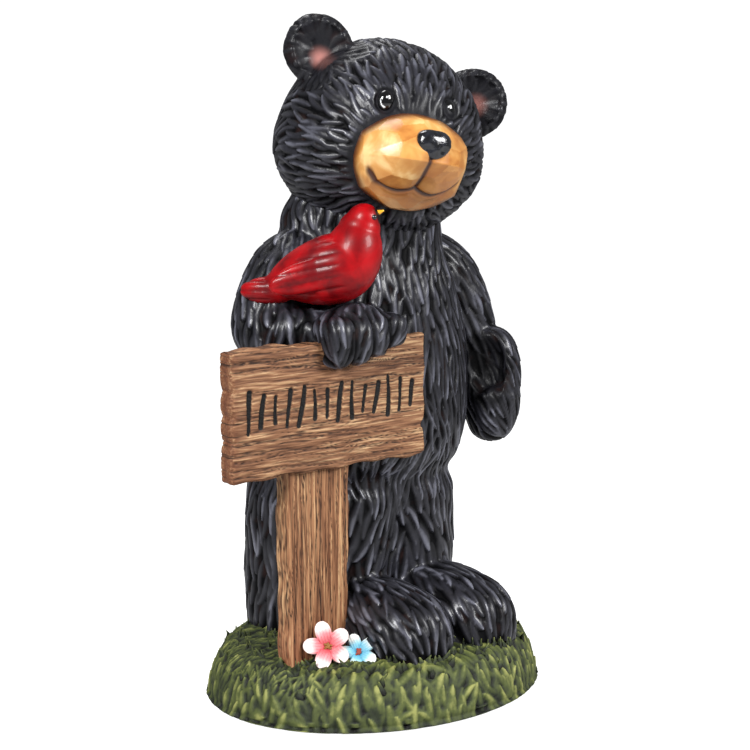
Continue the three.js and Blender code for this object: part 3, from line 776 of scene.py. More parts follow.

# %% [markdown]
# ## Nose and eyes
#
# The nose is a glossy rounded shield, wide above and narrow below. The eyes are glossy beads. Their
# catchlights are painted highlights on the beads: a white crescent low on one side and a dot above it,
# laid out as the camera sees each bead. Being paint, they stay in place from every side.

# %% Nose and eyes
def nose_shape(directions):
    low = np.clip(-directions[:, 2], 0, 1)
    half = np.array([2.95, 1.9, 2.35])
    bulge = squared(directions, 2.5)[:, None]
    local = directions * half * bulge
    local[:, 0] *= 1 - 0.42 * low**1.3
    local[:, 2] -= 0.2 * (1 - np.abs(directions[:, 0]))
    dents = hill(np.abs(directions[:, 0]), 0.45, 0.18) * hill(directions[:, 2], -0.3, 0.2)
    local[:, 1] -= 0.35 * dents * (directions[:, 1] > 0)
    return from_head(local + np.array([0.6, 19.3, -1]))


EYE_HALF = np.array([1.3, 1.0, 1.65])
nose = piece_from("bear_nose", [ball(nose_shape, 5)])
eyes = piece_from("bear_eyes", [pebble((0, 0, 0), (1, 1, 1), 5) for _ in EYES])
eye_directions = unit(get_points(eyes.data))
first_eye = np.arange(len(eye_directions)) < len(eye_directions) // 2
eye_middles = np.where(first_eye[:, None], EYES[0], EYES[1])
# The painted highlight is laid out across the bead as the camera sees it.
aside = eye_directions @ np.array([0.9, -0.44, 0])
# The crescent is one oval less another that is shifted from it.
crescent_outer = np.hypot(aside / 0.58, (eye_directions[:, 2] + 0.02) / 0.66)
crescent_inner = np.hypot((aside + 0.09) / 0.57, (eye_directions[:, 2] - 0.1) / 0.65)
crescent = (crescent_outer < 1) & (crescent_inner > 1) & (aside > -0.15) & (eye_directions[:, 2] < 0.1)
dot = np.hypot(aside + 0.2, eye_directions[:, 2] - 0.3) < 0.1
glint = (crescent | dot) & (eye_directions[:, 1] > 0)
paint_points(eyes.data, "glint", glint.astype(float))
set_points(eyes.data, from_head(eye_directions * EYE_HALF + eye_middles))
print("nose and eyes", triangles(nose), triangles(eyes))

# %% [markdown]
# ## Mixing paint
#
# Every finish is a small tree of nodes around one shader. The colour follows the relief: a dark wash
# sits in the valleys, and a lighter colour was brushed over the ridges with an almost dry brush. The
# stored ridge height picks between them, and a noise in object space breaks them up.


# %% Tools for materials
def paint(red, green, blue):
    """A paint colour from the 0 to 255 values that a screen shows."""
    channels = [value / 255 for value in (red, green, blue)]
    return (*[c / 12.92 if c <= 0.04045 else ((c + 0.055) / 1.055) ** 2.4 for c in channels], 1)


def node(tree, kind, inputs=(), **settings):
    """A node with its settings and inputs. An input is a plain value or another node's output."""
    made = tree.nodes.new("ShaderNode" + kind)
    for key, value in settings.items():
        setattr(made, key, value)
    for socket, value in dict(inputs).items():
        if isinstance(value, bpy.types.NodeSocket):
            tree.links.new(value, made.inputs[socket])
        else:
            made.inputs[socket].default_value = value
    return made


def finish(name, **values):
    """A new material: its node tree and its shader, with plain values set on the shader."""
    material = bpy.data.materials.new(name)
    material.use_nodes = True
    tree = material.node_tree
    shader = tree.nodes["Principled BSDF"]
    for socket, value in values.items():
        shader.inputs[socket.replace("_", " ")].default_value = value
    return material, tree, shader


# %% Patterns and masks
def stored(tree, name):
    return node(tree, "Attribute", attribute_name=name).outputs["Fac"]


def noise(tree, size, detail=4, stretch=(1, 1, 1), distortion=0.0):
    """Noise whose blotches are about size metres across, stretched along some axes."""
    place = node(tree, "TexCoord").outputs["Object"]
    mapping = node(tree, "Mapping", {"Vector": place, "Scale": stretch})
    inputs = {"Vector": mapping.outputs[0], "Scale": 1 / size, "Detail": detail, "Distortion": distortion}
    return node(tree, "TexNoise", inputs).outputs["Fac"]


def ramp(tree, factor, stops):
    """A colour for each stop of a factor."""
    made = node(tree, "ValToRGB", {"Fac": factor})
    elements = made.color_ramp.elements
    while len(elements) < len(stops):
        elements.new(0.5)
    for element, (position, color) in zip(elements, stops):
        element.position = position
        element.color = color
    return made.outputs["Color"]


def mask(tree, factor, low, high):
    """0 at low and 1 at high."""
    made = node(tree, "MapRange", {"Value": factor, "From Min": low, "From Max": high}, clamp=True)
    return made.outputs["Result"]


def mix(tree, factor, under, over, blend="MIX"):
    """Two colours mixed by a factor. The Mix node's colour sockets are its inputs 6 and 7."""
    made = node(tree, "Mix", data_type="RGBA", blend_type=blend)
    for socket, value in zip((made.inputs[0], made.inputs[6], made.inputs[7]), (factor, under, over)):
        if isinstance(value, bpy.types.NodeSocket):
            tree.links.new(value, socket)
        else:
            socket.default_value = value
    return made.outputs[2]


def times(tree, one, other):
    return node(tree, "Math", {0: one, 1: other}, operation="MULTIPLY").outputs[0]


def plus(tree, one, other):
    return node(tree, "Math", {0: one, 1: other}, operation="ADD").outputs[0]


def bumped(tree, shader, height, strength, distance):
    made = node(tree, "Bump", {"Height": height, "Strength": strength, "Distance": distance})
    tree.links.new(made.outputs[0], shader.inputs["Normal"])


# %% [markdown]
# ## The black coat
#
# The coat is a satin charcoal. The valleys are nearly black and matt, the ridges a cool blue grey
# that shines, and a few hollows keep a trace of red brown. Inside the ears a pink was sprayed over
# the black.

# %% Bear paint
def coat_paint(name, on_head):
    material, tree, shader = finish(name, Coat_Roughness=0.16)
    ridge = stored(tree, "ridge")
    patches = noise(tree, 9 * MM, 3)
    height = plus(tree, ridge, times(tree, plus(tree, patches, -0.5), 0.35))
    if on_head:
        height = plus(tree, height, times(tree, stored(tree, "smooth"), -0.22))
    # The head's dry-brushed grey is a darker copy of the body's, as painted shade on the head.
    ridge_tone = paint(98, 99, 110) if on_head else paint(110, 111, 123)
    color = ramp(tree, height, [
        (0.25, paint(4, 4, 6)), (0.52, paint(18, 18, 22)), (0.76, paint(41, 41, 48)), (0.98, ridge_tone),
    ])
    for socket, in_valley, on_ridge in (
        ("Roughness", 0.55, 0.3), ("Specular IOR Level", 0.1, 0.42), ("Coat Weight", 0.0, 0.14),
    ):
        limits = {
            "Value": height, "From Min": 0.3, "From Max": 0.85, "To Min": in_valley, "To Max": on_ridge,
        }
        tree.links.new(node(tree, "MapRange", limits).outputs["Result"], shader.inputs[socket])
    warm = times(tree, mask(tree, noise(tree, 14 * MM, 2), 0.56, 0.72), mask(tree, height, 0.6, 0.3))
    color = mix(tree, times(tree, warm, 0.5), color, paint(52, 34, 32))
    if on_head:
        color = mix(tree, times(tree, stored(tree, "smooth"), 0.6), color, paint(34, 34, 39))
        color = mix(tree, stored(tree, "pink"), color, paint(180, 122, 114))
    tree.links.new(color, shader.inputs["Base Color"])
    scratches = noise(tree, 0.9 * MM, 3, stretch=(1, 1, 0.3))
    bumped(tree, shader, scratches, 0.22, 0.4 * MM)
    return material


body_coat = coat_paint("body_coat", False)
head_coat = coat_paint("head_coat", True)

# %% Muzzle, nose and eye paint
muzzle_paint, tree, shader = finish("muzzle_paint", Roughness=0.34, Coat_Weight=0.25, Coat_Roughness=0.2)
# Painted highlight and shade: each facet of the muzzle is lighter or darker at random.
blotches = plus(tree, noise(tree, 16 * MM, 3, distortion=0.4), times(tree, stored(tree, "facet_highlight"), 0.22))
color = ramp(tree, blotches, [
    (0.42, paint(180, 114, 50)), (0.56, paint(202, 138, 67)),
    (0.68, paint(218, 160, 88)), (0.8, paint(238, 198, 134)),
])
# Brown painted shade along the mouth's fold, in the lobes under the nose, on the lower jaw and under the
# chin.
color = mix(tree, times(tree, stored(tree, "fold_shade"), 0.75), color, paint(142, 84, 38))
color = mix(tree, mask(tree, stored(tree, "rim"), 0.25, 1), color, paint(92, 50, 26))
color = mix(tree, mask(tree, stored(tree, "mouth"), 0.15, 0.8), color, paint(70, 38, 22))
tree.links.new(color, shader.inputs["Base Color"])
bumped(tree, shader, noise(tree, 2.5 * MM, 3), 0.12, 0.5 * MM)

nose_paint, tree, shader = finish("nose_paint", Roughness=0.16, Coat_Weight=0.6, Coat_Roughness=0.08)
color = ramp(tree, noise(tree, 3 * MM, 3), [(0.35, paint(10, 10, 12)), (0.7, paint(34, 36, 44))])
tree.links.new(color, shader.inputs["Base Color"])
bumped(tree, shader, noise(tree, 1.4 * MM, 2), 0.5, 0.5 * MM)

eye_paint, tree, shader = finish("eye_paint", Roughness=0.06, Coat_Weight=0.8, Coat_Roughness=0.04)
color = mix(tree, stored(tree, "glint"), paint(6, 6, 8), paint(236, 238, 240))
tree.links.new(color, shader.inputs["Base Color"])
bumped(tree, shader, noise(tree, 2 * MM, 1), 0.03, 0.2 * MM)

for piece, material in (
    (upper_body, body_coat), (lower_body, body_coat), (head, head_coat),
    (muzzle, muzzle_paint), (nose, nose_paint), (eyes, eye_paint),
):
    piece.data.materials.clear()
    piece.data.materials.append(material)
print("bear painted")

# %% [markdown]
# ## The sign
#
# Board and post are planks with a worn outline: rounded corners, a wavy edge, ends that are scalloped
# by the saw, and long cracks along the grain. A cube is divided into a fine grid, so that every one
# of these is a move of its points. The board dips under the paw. Where a sign has its word, this one
# has a row of short black strokes that form no letters.

# %% Plank tools
def grid_block(size, spacing):
    """A box whose faces are fine grids. size and spacing are given along x, y and z."""
    form = bmesh.new()
    bmesh.ops.create_cube(form, size=1)
    for axis in range(3):
        def runs_along(edge):
            return abs(edge.verts[0].co[axis] - edge.verts[1].co[axis]) > 0.5

        edges = [edge for edge in form.edges if runs_along(edge)]
        cuts = int(round(size[axis] / spacing[axis])) - 1
        bmesh.ops.subdivide_edges(form, edges=edges, cuts=cuts, use_grid_fill=True)
    return reshape(form, lambda points: points * np.array(size))


def rounded(points, size, radius):
    """Rounds the edges of a box."""
    half = np.array(size) / 2
    inner = np.clip(points, -half + radius, half - radius)
    outer = points - inner
    return inner + unit(outer) * np.minimum(np.linalg.norm(outer, axis=1, keepdims=True), radius)


def outer_share(points):
    """From 0 inside a plank to -1 on its front and 1 on its back."""
    return np.sign(points[:, 1]) * ease(3 * MM, 5.5 * MM, np.abs(points[:, 1]))


def grain_cracks(along_x, across_z, length, width, count, seed):
    """Depth of the grain from 0 to 1 where long cracks wander along x."""
    random = np.random.default_rng(seed)
    depth = np.zeros(len(along_x))
    for _ in range(count):
        height = random.uniform(-width / 2, width / 2)
        middle = random.uniform(-length / 2, length / 2)
        reach = length * random.uniform(0.12, 0.5)
        half_width = random.uniform(0.3, 0.6) * MM
        strength = random.uniform(0.2, 0.85)
        wander = 0.9 * MM * np.sin(along_x / (15 * MM) + random.uniform(0, 6.3))
        wander += 0.4 * MM * np.sin(along_x / (5 * MM) + random.uniform(0, 6.3))
        taper = np.clip(1 - ((along_x - middle) / reach) ** 2, 0, 1)
        across = np.abs(across_z - height - wander) / (half_width * (0.4 + 0.6 * taper))
        depth = np.maximum(depth, strength * taper**0.5 * np.clip(1 - across, 0, 1))
    return depth


# %% The row of strokes
BOARD_SIZE = (150.5 * MM, 13 * MM, 76 * MM)
BOARD_MIDDLE = np.array([-60.5, -24.5, 188.5]) * MM
WORD_HEIGHT = board_top - BOARD_SIZE[2] * 0.47 - BOARD_MIDDLE[2]
STROKE_COUNT = 14


def stroke_row(x, z):
    """Depth of the row of strokes from 0 to 1. They lean to and fro and form no letters."""
    depth = np.zeros(len(x))
    for i in range(STROKE_COUNT):
        middle = (i / (STROKE_COUNT - 1) - 0.5) * BOARD_SIZE[0] * 0.84
        lean = math.radians(5 + 6 * math.sin(i * 2.1))
        half_height = 14 * MM * (0.84 + 0.16 * math.cos(i * 1.7))
        up = (z - WORD_HEIGHT) * math.cos(lean) + (x - middle) * math.sin(lean)
        aside = (x - middle) * math.cos(lean) - (z - WORD_HEIGHT) * math.sin(lean)
        aside = aside + 0.5 * MM * np.sin(up / (6 * MM) + i)
        end = np.clip((half_height - np.abs(up)) / (2 * MM), 0, 1)
        half_width = 2.6 * MM * (0.8 + 0.2 * np.sin(up / (8 * MM) + i * 2))
        depth = np.maximum(depth, end * np.clip(1.4 - 1.4 * np.abs(aside) / half_width, 0, 1))
    return depth


# %% Board
def board_shape(points):
    points = rounded(points, BOARD_SIZE, 2 * MM)
    x, y, z = points.T
    half_x, half_y, half_z = np.array(BOARD_SIZE) / 2
    top_share = np.clip(z / half_z, 0, 1)
    low_share = np.clip(-z / half_z, 0, 1)
    z = z + top_share * 1.1 * MM * np.sin(x / (13 * MM) + 1) * np.sin(x / (5 * MM))
    z = z + low_share * 1.2 * MM * np.sin(x / (16 * MM) + 4) * np.sin(x / (6 * MM) + 1)
    paw_gap = (x + BOARD_MIDDLE[0] - RIGHT_PAW[0]) / (25 * MM)
    z = z - top_share * 8 * MM * np.maximum(0, 1 - paw_gap**2) * np.clip(top_share * 1.5, 0, 1)
    left_end = ease(-half_x + 7 * MM, -half_x, x)
    right_end = ease(half_x - 5 * MM, half_x, x)
    scallops = np.abs(np.sin(z / (6.4 * MM) + 0.9 * np.sin(z / (11 * MM)))) ** 0.45
    x = x + left_end * 2.4 * MM * (1 - scallops) + left_end * 0.8 * MM * np.sin(y / (2 * MM))
    x = x - right_end * 1.2 * MM * np.abs(np.sin(z / (8 * MM) + 1))
    chip = hill(z, -19 * MM, 2.2 * MM)
    x = x - right_end * 3.5 * MM * chip
    return np.stack([x, y, z], axis=1)


board = piece_from("sign_board", [grid_block(BOARD_SIZE, (0.9 * MM, 1.3 * MM, 0.65 * MM))])
board_flat = get_points(board.data)
board_points = board_shape(board_flat)
board_outer = outer_share(board_points)
board_grain = grain_cracks(board_points[:, 0], board_points[:, 2], BOARD_SIZE[0], 80 * MM, 170, 3)
deep_ends = 1 + 0.9 * ease(-50 * MM, -70 * MM, board_points[:, 0])
word = stroke_row(board_points[:, 0], board_points[:, 2]) * ease(-3 * MM, -5.5 * MM, board_points[:, 1])
sink = board_grain * 0.8 * MM * deep_ends * (1 - word) + word * 1.5 * MM
board_points[:, 1] -= board_outer * sink
paint_points(board.data, "crack", board_grain * (1 - word))
paint_points(board.data, "word", word)
sawn_end = ease(-70 * MM, -72 * MM, board_flat[:, 0])
paint_points(board.data, "end", sawn_end * (1 - 0.6 * np.abs(board_outer)))
set_points(board.data, board_points + BOARD_MIDDLE)
print("board", triangles(board), "triangles")

# %% Post
POST_LOW = 19 * MM
POST_HIGH = 203.5 * MM
POST_SIZE = (49 * MM, 13 * MM, POST_HIGH - POST_LOW)
POST_MIDDLE = np.array([-68 * MM, -19.5 * MM, (POST_LOW + POST_HIGH) / 2])

post = piece_from("sign_post", [grid_block(POST_SIZE, (0.65 * MM, 1.3 * MM, 1.3 * MM))])
post_points = rounded(get_points(post.data), POST_SIZE, 1.3 * MM)
low_share = 0.5 - post_points[:, 2] / POST_SIZE[2]
side_share = post_points[:, 0] / (POST_SIZE[0] / 2)
post_points[:, 0] *= 1 - 0.1 * low_share
wear = np.sin(post_points[:, 2] / (14 * MM)) * np.sin(post_points[:, 2] / (6 * MM))
post_points[:, 0] += side_share * 0.9 * MM * wear
around_post = post_points[:, 0] + post_points[:, 1]
post_grain = grain_cracks(post_points[:, 2], around_post, 184 * MM, 60 * MM, 140, 8)
post_points[:, 1] -= outer_share(post_points) * post_grain * 0.9 * MM
paint_points(post.data, "crack", post_grain)
paint_points(post.data, "word", np.zeros(len(post_points)))
paint_points(post.data, "end", ease(0.72, 1, low_share) * 0.7)
set_points(post.data, post_points + POST_MIDDLE)
print("post", triangles(post), "triangles")

# %% [markdown]
# ## Wood paint
#
# The wood is painted in three coats: a mid brown, a dark wash that ran into the cracks, and a dry
# brush of tan along the grain. The sawn ends and the foot of the post are redder. The grain noise
# is stretched along each plank, so board and post have a material each.

# %% Wood paint
def wood_paint(name, stretch, tones, end_color):
    """tones are the wash, the two browns and the dry brush, from dark to light."""
    material, tree, shader = finish(name, Roughness=0.62, Specular_IOR_Level=0.3)
    fine = noise(tree, 1.2 * MM, 4, stretch, distortion=0.3)
    broad = noise(tree, 7 * MM, 3, stretch)
    grain = plus(tree, times(tree, fine, 0.65), times(tree, broad, 0.35))
    color = ramp(tree, grain, list(zip((0.38, 0.46, 0.54, 0.64), tones)))
    color = mix(tree, mask(tree, stored(tree, "end"), 0, 1.4), color, end_color)
    color = mix(tree, mask(tree, stored(tree, "crack"), 0.1, 0.6), color, paint(46, 28, 19))
    color = mix(tree, mask(tree, stored(tree, "word"), 0.2, 0.5), color, paint(9, 8, 9))
    tree.links.new(color, shader.inputs["Base Color"])
    bumped(tree, shader, fine, 0.8, 0.8 * MM)
    return material


BOARD_TONES = [paint(88, 56, 37), paint(122, 82, 56), paint(148, 106, 75), paint(196, 158, 118)]
POST_TONES = [paint(100, 62, 39), paint(138, 94, 64), paint(166, 120, 84), paint(208, 168, 124)]
board.data.materials.append(wood_paint("board_paint", (0.06, 1, 1), BOARD_TONES, paint(108, 62, 42)))
post.data.materials.append(wood_paint("post_paint", (1, 1, 0.035), POST_TONES, paint(160, 92, 66)))
print("board and post painted")

# %% [markdown]
# ## The grass mound
#
# The mound is turned on a lathe and stretched to an oval. Its grass is cut as the fur is, but the
# strokes are broad blades whose tips point up and lean left and right over each other. The top of
# its left side is a finer turf. A few hundred blades of their own stand in it, so that its edge is
# ragged where it meets the feet and the post.

# %% Mound
MOUND_HALF = np.array([113 * MM, 95 * MM])
MOUND_ROWS = 130
MOUND_STEPS = 600
# Each point is a share of the half width and a height in millimetres.
MOUND_PROFILE = [
    (0.001, 0), (0.5, 0), (0.97, 0.2), (1, 4.4), (0.99, 11), (0.965, 18.7), (0.93, 25.8), (0.87, 32.2),
    (0.74, 35.2), (0.45, 37), (0.2, 37), (0.001, 37),
]
MOUND_SHOULDER = MOUND_PROFILE[9:4:-1]


def mound_form():
    form = bmesh.new()
    line = along(MOUND_PROFILE, np.linspace(0, 1, MOUND_ROWS))
    verts = [form.verts.new((share, 0, height * MM)) for share, height in line]
    edges = [form.edges.new(pair) for pair in zip(verts, verts[1:])]
    bmesh.ops.spin(
        form, geom=[*verts, *edges], cent=(0, 0, 0), axis=(0, 0, 1), angle=2 * math.pi,
        steps=MOUND_STEPS, use_merge=True,
    )
    bmesh.ops.holes_fill(form, edges=form.edges, sides=0)
    bmesh.ops.recalc_face_normals(form, faces=form.faces)
    return reshape(form, lambda points: points * np.array([*MOUND_HALF, 1]))


# %% Carve the grass
GRASS_LEVEL = 0.78
mound = piece_from("grass", [mound_form()])
mound_points = get_points(mound.data)
mound_normals = get_normals(mound.data)
inward = -mound_points * np.array([1, 1, 0])
mound_flow = UP + 0.5 * unit(inward)
lean_noise = np.sin(mound_points[:, 0] / (9 * MM)) * np.cos(mound_points[:, 1] / (7 * MM) + 1)
mound_side = np.cross(mound_normals, UP)
mound_flow = mound_flow + mound_side * (0.7 * lean_noise)[:, None]
back_left = ease(10 * MM, -30 * MM, mound_points[:, 0]) * ease(-66 * MM, -40 * MM, mound_points[:, 1])
fine_turf = back_left * ease(12 * MM, 24 * MM, mound_points[:, 2])
blade_length = (17 - 8.5 * fine_turf) * MM
blade_width = (9.6 - 5 * fine_turf) * MM
grass_strokes = scatter(
    mound_points, mound_normals, mound_flow, blade_length, blade_width, 21, crowd=(0.34, 0.46), jitter=0.36
)
grass_heights = stroke_heights(mound_points, mound_normals, grass_strokes, 2.2)
above_ground = ease(0.5 * MM, 3 * MM, mound_points[:, 2])
grass_move = (grass_heights - GRASS_LEVEL) * (5.2 - 2 * fine_turf) * MM * above_ground
set_points(mound.data, mound_points + mound_normals * grass_move[:, None])
paint_points(mound.data, "ridge", grass_heights)
print("mound", triangles(mound), "triangles and", len(grass_strokes.place), "carved blades")

# %% One standing blade
def blade(height, width, lean, turn, place):
    """One thin pointed blade that bends over as it rises."""
    form = bmesh.new()
    bmesh.ops.create_cone(form, cap_ends=True, segments=5, radius1=1, radius2=0.16, depth=1)
    bmesh.ops.subdivide_edges(form, edges=upright_edges(form), cuts=3)

    def shape(points):
        share = points[:, 2] + 0.5
        belly = 0.7 + 0.9 * np.sin(np.pi * share) * (1 - share)
        x = points[:, 0] * width / 2 * belly
        y = points[:, 1] * width / 5 * belly
        x = x + lean * height * share**2
        z = share * height * (1 - 0.2 * abs(lean) * share)
        turned_x = x * math.cos(turn) - y * math.sin(turn)
        turned_y = x * math.sin(turn) + y * math.cos(turn)
        return np.stack([turned_x, turned_y, z], axis=1) + place

    return reshape(form, shape)


# %% Plant the blades
SCATTERED_BLADES = 230
BLADES_BY_FOOT = 30
BLADES_BY_POST = 12
ROOT_DEPTH = 3.5 * MM
random = np.random.default_rng(33)
blade_places = []
for _ in range(SCATTERED_BLADES):
    turn = random.uniform(0, 2 * math.pi)
    share = random.uniform(0.6, 0.955)
    blade_places.append((math.cos(turn) * MOUND_HALF[0] * share, math.sin(turn) * MOUND_HALF[1] * share))
for side in (-1, 1):
    for turn in np.linspace(-1.9, 1.9, BLADES_BY_FOOT):
        # Just outside the foot's own outline.
        outward = np.array([8.3 * math.sin(turn), -12.4 * math.cos(turn), 0])
        beside_foot = foot_middle(side) + PART * outward
        blade_places.append((beside_foot[0], beside_foot[1]))
for across in np.linspace(-1, 1, BLADES_BY_POST):
    blade_places.append((POST_MIDDLE[0] + across * 26 * MM, POST_MIDDLE[1] - 10.5 * MM))

blades = []
blade_heights = []
shoulder_shares, shoulder_heights = zip(*MOUND_SHOULDER)
for x, y in blade_places:
    share = math.hypot(x / MOUND_HALF[0], y / MOUND_HALF[1])
    turf = np.interp(share, shoulder_shares, shoulder_heights) * MM
    place = np.array([x, y, turf - ROOT_DEPTH])
    height = random.uniform(6.5, 9.5) * MM
    facing = math.atan2(y, x) + math.pi / 2 + random.uniform(-0.6, 0.6)
    form = blade(height, random.uniform(6.5, 8.6) * MM, random.uniform(-0.5, 0.5), facing, place)
    blade_heights += [(vert.co.z - place[2]) / height for vert in form.verts]
    blades.append(form)
grass_blades = piece_from("grass_blades", blades)
# Each standing blade is painted dark at its root and lighter towards its tip, as painted shade near the
# ground.
paint_points(grass_blades.data, "ridge", 0.2 + 0.7 * np.clip(blade_heights, 0, 1))
print("blades", triangles(grass_blades), "triangles")

# %% [markdown]
# ## Grass paint
#
# The grass was painted dark green and brushed over with olive and then a little yellow green, which
# stays on the edges of the blades.

# %% Grass paint
grass_paint, tree, shader = finish("grass_paint", Roughness=0.7)
ridge = stored(tree, "ridge")
height = plus(tree, ridge, times(tree, plus(tree, noise(tree, 7 * MM, 3), -0.5), 0.5))
# The darkest stop paints the valleys between the carved blades near black, as painted shade.
color = ramp(tree, height, [
    (0.4, paint(5, 7, 4)), (0.62, paint(34, 43, 18)), (0.82, paint(80, 89, 39)), (1.0, paint(150, 152, 85)),
])
tree.links.new(color, shader.inputs["Base Color"])
bumped(tree, shader, noise(tree, 1.5 * MM, 3, stretch=(1, 1, 0.3)), 0.4, 0.6 * MM)
for piece in (mound, grass_blades):
    piece.data.materials.append(grass_paint)
print("grass painted")

# %% [markdown]
# ## The red bird
#
# The bird is a few smooth masses melted together: a body that follows a curved spine, a head, a
# tail and two folded wings. Its feathers are only hinted at, by grooves along the wings and tail.
# The beak and the eyes are pieces of their own. The glossy paint makes the form read. The bird's
# sizes are in a unit of its own, with x towards the beak, and it is placed from the paw.

# %% Bird body
def turned(angle, axis):
    return np.array(Matrix.Rotation(angle, 3, axis))


BIRD_PART = 0.88 * MM
BIRD_MIDDLE = RIGHT_PAW + np.array([-3.52 * MM, 5.28 * MM, RIGHT_PAW_HALF[2] + 18.92 * MM])
BIRD_TURN = turned(math.radians(-45), "Z")


def on_bird(points):
    return np.asarray(points) * BIRD_PART @ BIRD_TURN.T + BIRD_MIDDLE


def bird_ball(middle, half, turn=np.eye(3), detail=5):
    return ball(lambda directions: on_bird(directions * np.array(half) @ turn.T + np.array(middle)), detail)


SPINE = [(-62, 0, -13), (-33, 0, -4), (-10, 0, 1), (3, 0, 6), (9, 0, 20), (12, 0, 33)]
SPINE_RADII = np.array([6, 20, 24.5, 22.5, 22, 16])
WING_RISE = 0.27
shares = np.linspace(0.02, 0.98, 40)
spine_sizes = along(SPINE_RADII[:, None], shares)[:, 0] * np.sin(np.pi * shares) ** 0.5
bird_forms = [
    bird_ball(middle, (size,) * 3, detail=4) for middle, size in zip(along(SPINE, shares), spine_sizes)
]
bird_forms.append(bird_ball((11, 0, 29), (14.5, 13, 13)))
bird_forms.append(bird_ball((14, 0, 35.5), (11.5, 11, 11)))
bird_forms.append(bird_ball((-51, 0, -13), (20, 8, 9.5)))
for side in (-1, 1):
    wing_turn = turned(side * -0.2, "Z") @ turned(-WING_RISE, "Y")
    bird_forms.append(bird_ball((-18, side * 18.5, -1), (32, 5, 12), wing_turn))
bird = fuse(piece_from("bird_body", bird_forms), 0.9 * MM, 6)
print("bird", triangles(bird), "triangles")

# %% Feathers
bird_points = get_points(bird.data)
bird_local = (bird_points - BIRD_MIDDLE) @ BIRD_TURN / BIRD_PART
wing_along = bird_local[:, 0] * math.cos(WING_RISE) + bird_local[:, 2] * math.sin(WING_RISE)
wing_across = bird_local[:, 2] * math.cos(WING_RISE) - bird_local[:, 0] * math.sin(WING_RISE)
on_wing = ease(13, 16, np.abs(bird_local[:, 1])) * ease(6, -6, wing_along) * ease(-50, -42, wing_along)
on_tail = ease(-46, -54, bird_local[:, 0])
wing_feathers = np.abs(np.sin(wing_across * 0.4 + wing_along * 0.03 + 0.4)) ** 0.5
tail_feathers = np.abs(np.sin(bird_local[:, 2] * 0.5)) ** 0.5
feather_groove = on_wing * (1 - wing_feathers) + on_tail * (1 - tail_feathers)
bird_normals = get_normals(bird.data)
set_points(bird.data, bird_points - bird_normals * (feather_groove * 0.85 * MM)[:, None])
face_gap = np.linalg.norm(bird_local - np.array([24.5, 0, 38.5]), axis=1)
paint_points(bird.data, "groove", feather_groove)
paint_points(bird.data, "face", ease(7.5, 5.5, face_gap))

# %% Beak and eyes
BEAK_LENGTH = 9
beak_form = bmesh.new()
bmesh.ops.create_cone(beak_form, cap_ends=True, segments=24, radius1=2.4, radius2=0.5, depth=BEAK_LENGTH)
bmesh.ops.subdivide_edges(beak_form, edges=upright_edges(beak_form), cuts=6)
beak_turn = turned(1.2, "Y")


def beak_shape(points):
    share = points[:, 2] / BEAK_LENGTH + 0.5
    swell = 1 + 0.35 * np.sin(np.pi * share)
    bent = np.stack([points[:, 0] * swell, points[:, 1] * swell, points[:, 2]], axis=1)
    return on_bird(bent @ beak_turn.T + np.array([23.6, 0, 40]))


beak = piece_from("bird_beak", [reshape(beak_form, beak_shape)])
eye_forms = [bird_ball((21.5, side * 7.6, 37.2), (1.9, 1.9, 1.9), detail=4) for side in (-1, 1)]
bird_eyes = piece_from("bird_eyes", eye_forms)
print("beak and eyes", triangles(beak), triangles(bird_eyes))

# %% Bird paint
red_paint, tree, shader = finish("red_paint", Roughness=0.36, Specular_IOR_Level=0.22, Coat_Weight=0.1)
wash = noise(tree, 18 * MM, 3, distortion=0.5)
color = ramp(tree, wash, [(0.36, paint(104, 4, 12)), (0.5, paint(146, 4, 12)), (0.66, paint(172, 7, 17))])
color = mix(tree, mask(tree, stored(tree, "groove"), 0.2, 1), color, paint(84, 8, 14))
color = mix(tree, mask(tree, stored(tree, "face"), 0.2, 0.9), color, paint(22, 12, 14))
tree.links.new(color, shader.inputs["Base Color"])
bumped(tree, shader, noise(tree, 5 * MM, 3), 0.15, 0.8 * MM)
bird.data.materials.append(red_paint)

beak_paint, tree, shader = finish("beak_paint", Roughness=0.3, Coat_Weight=0.3)
color = ramp(tree, noise(tree, 3 * MM, 2), [(0.35, paint(216, 140, 24)), (0.65, paint(246, 190, 50))])
tree.links.new(color, shader.inputs["Base Color"])
beak.data.materials.append(beak_paint)
bird_eyes.data.materials.append(nose_paint)
print("bird painted")

# %% [markdown]
# ## The flowers
#
# Each flower has five thin rounded petals that cup a little, with an uneven edge, about a rough
# button. The colour is strongest at the heart, runs out in veins and leaves the tips white. The
# share of the way out along a petal is stored on its points and drives the paint.

# %% Flowers
PETAL_COUNT = 5
HEART_BEADS = 26


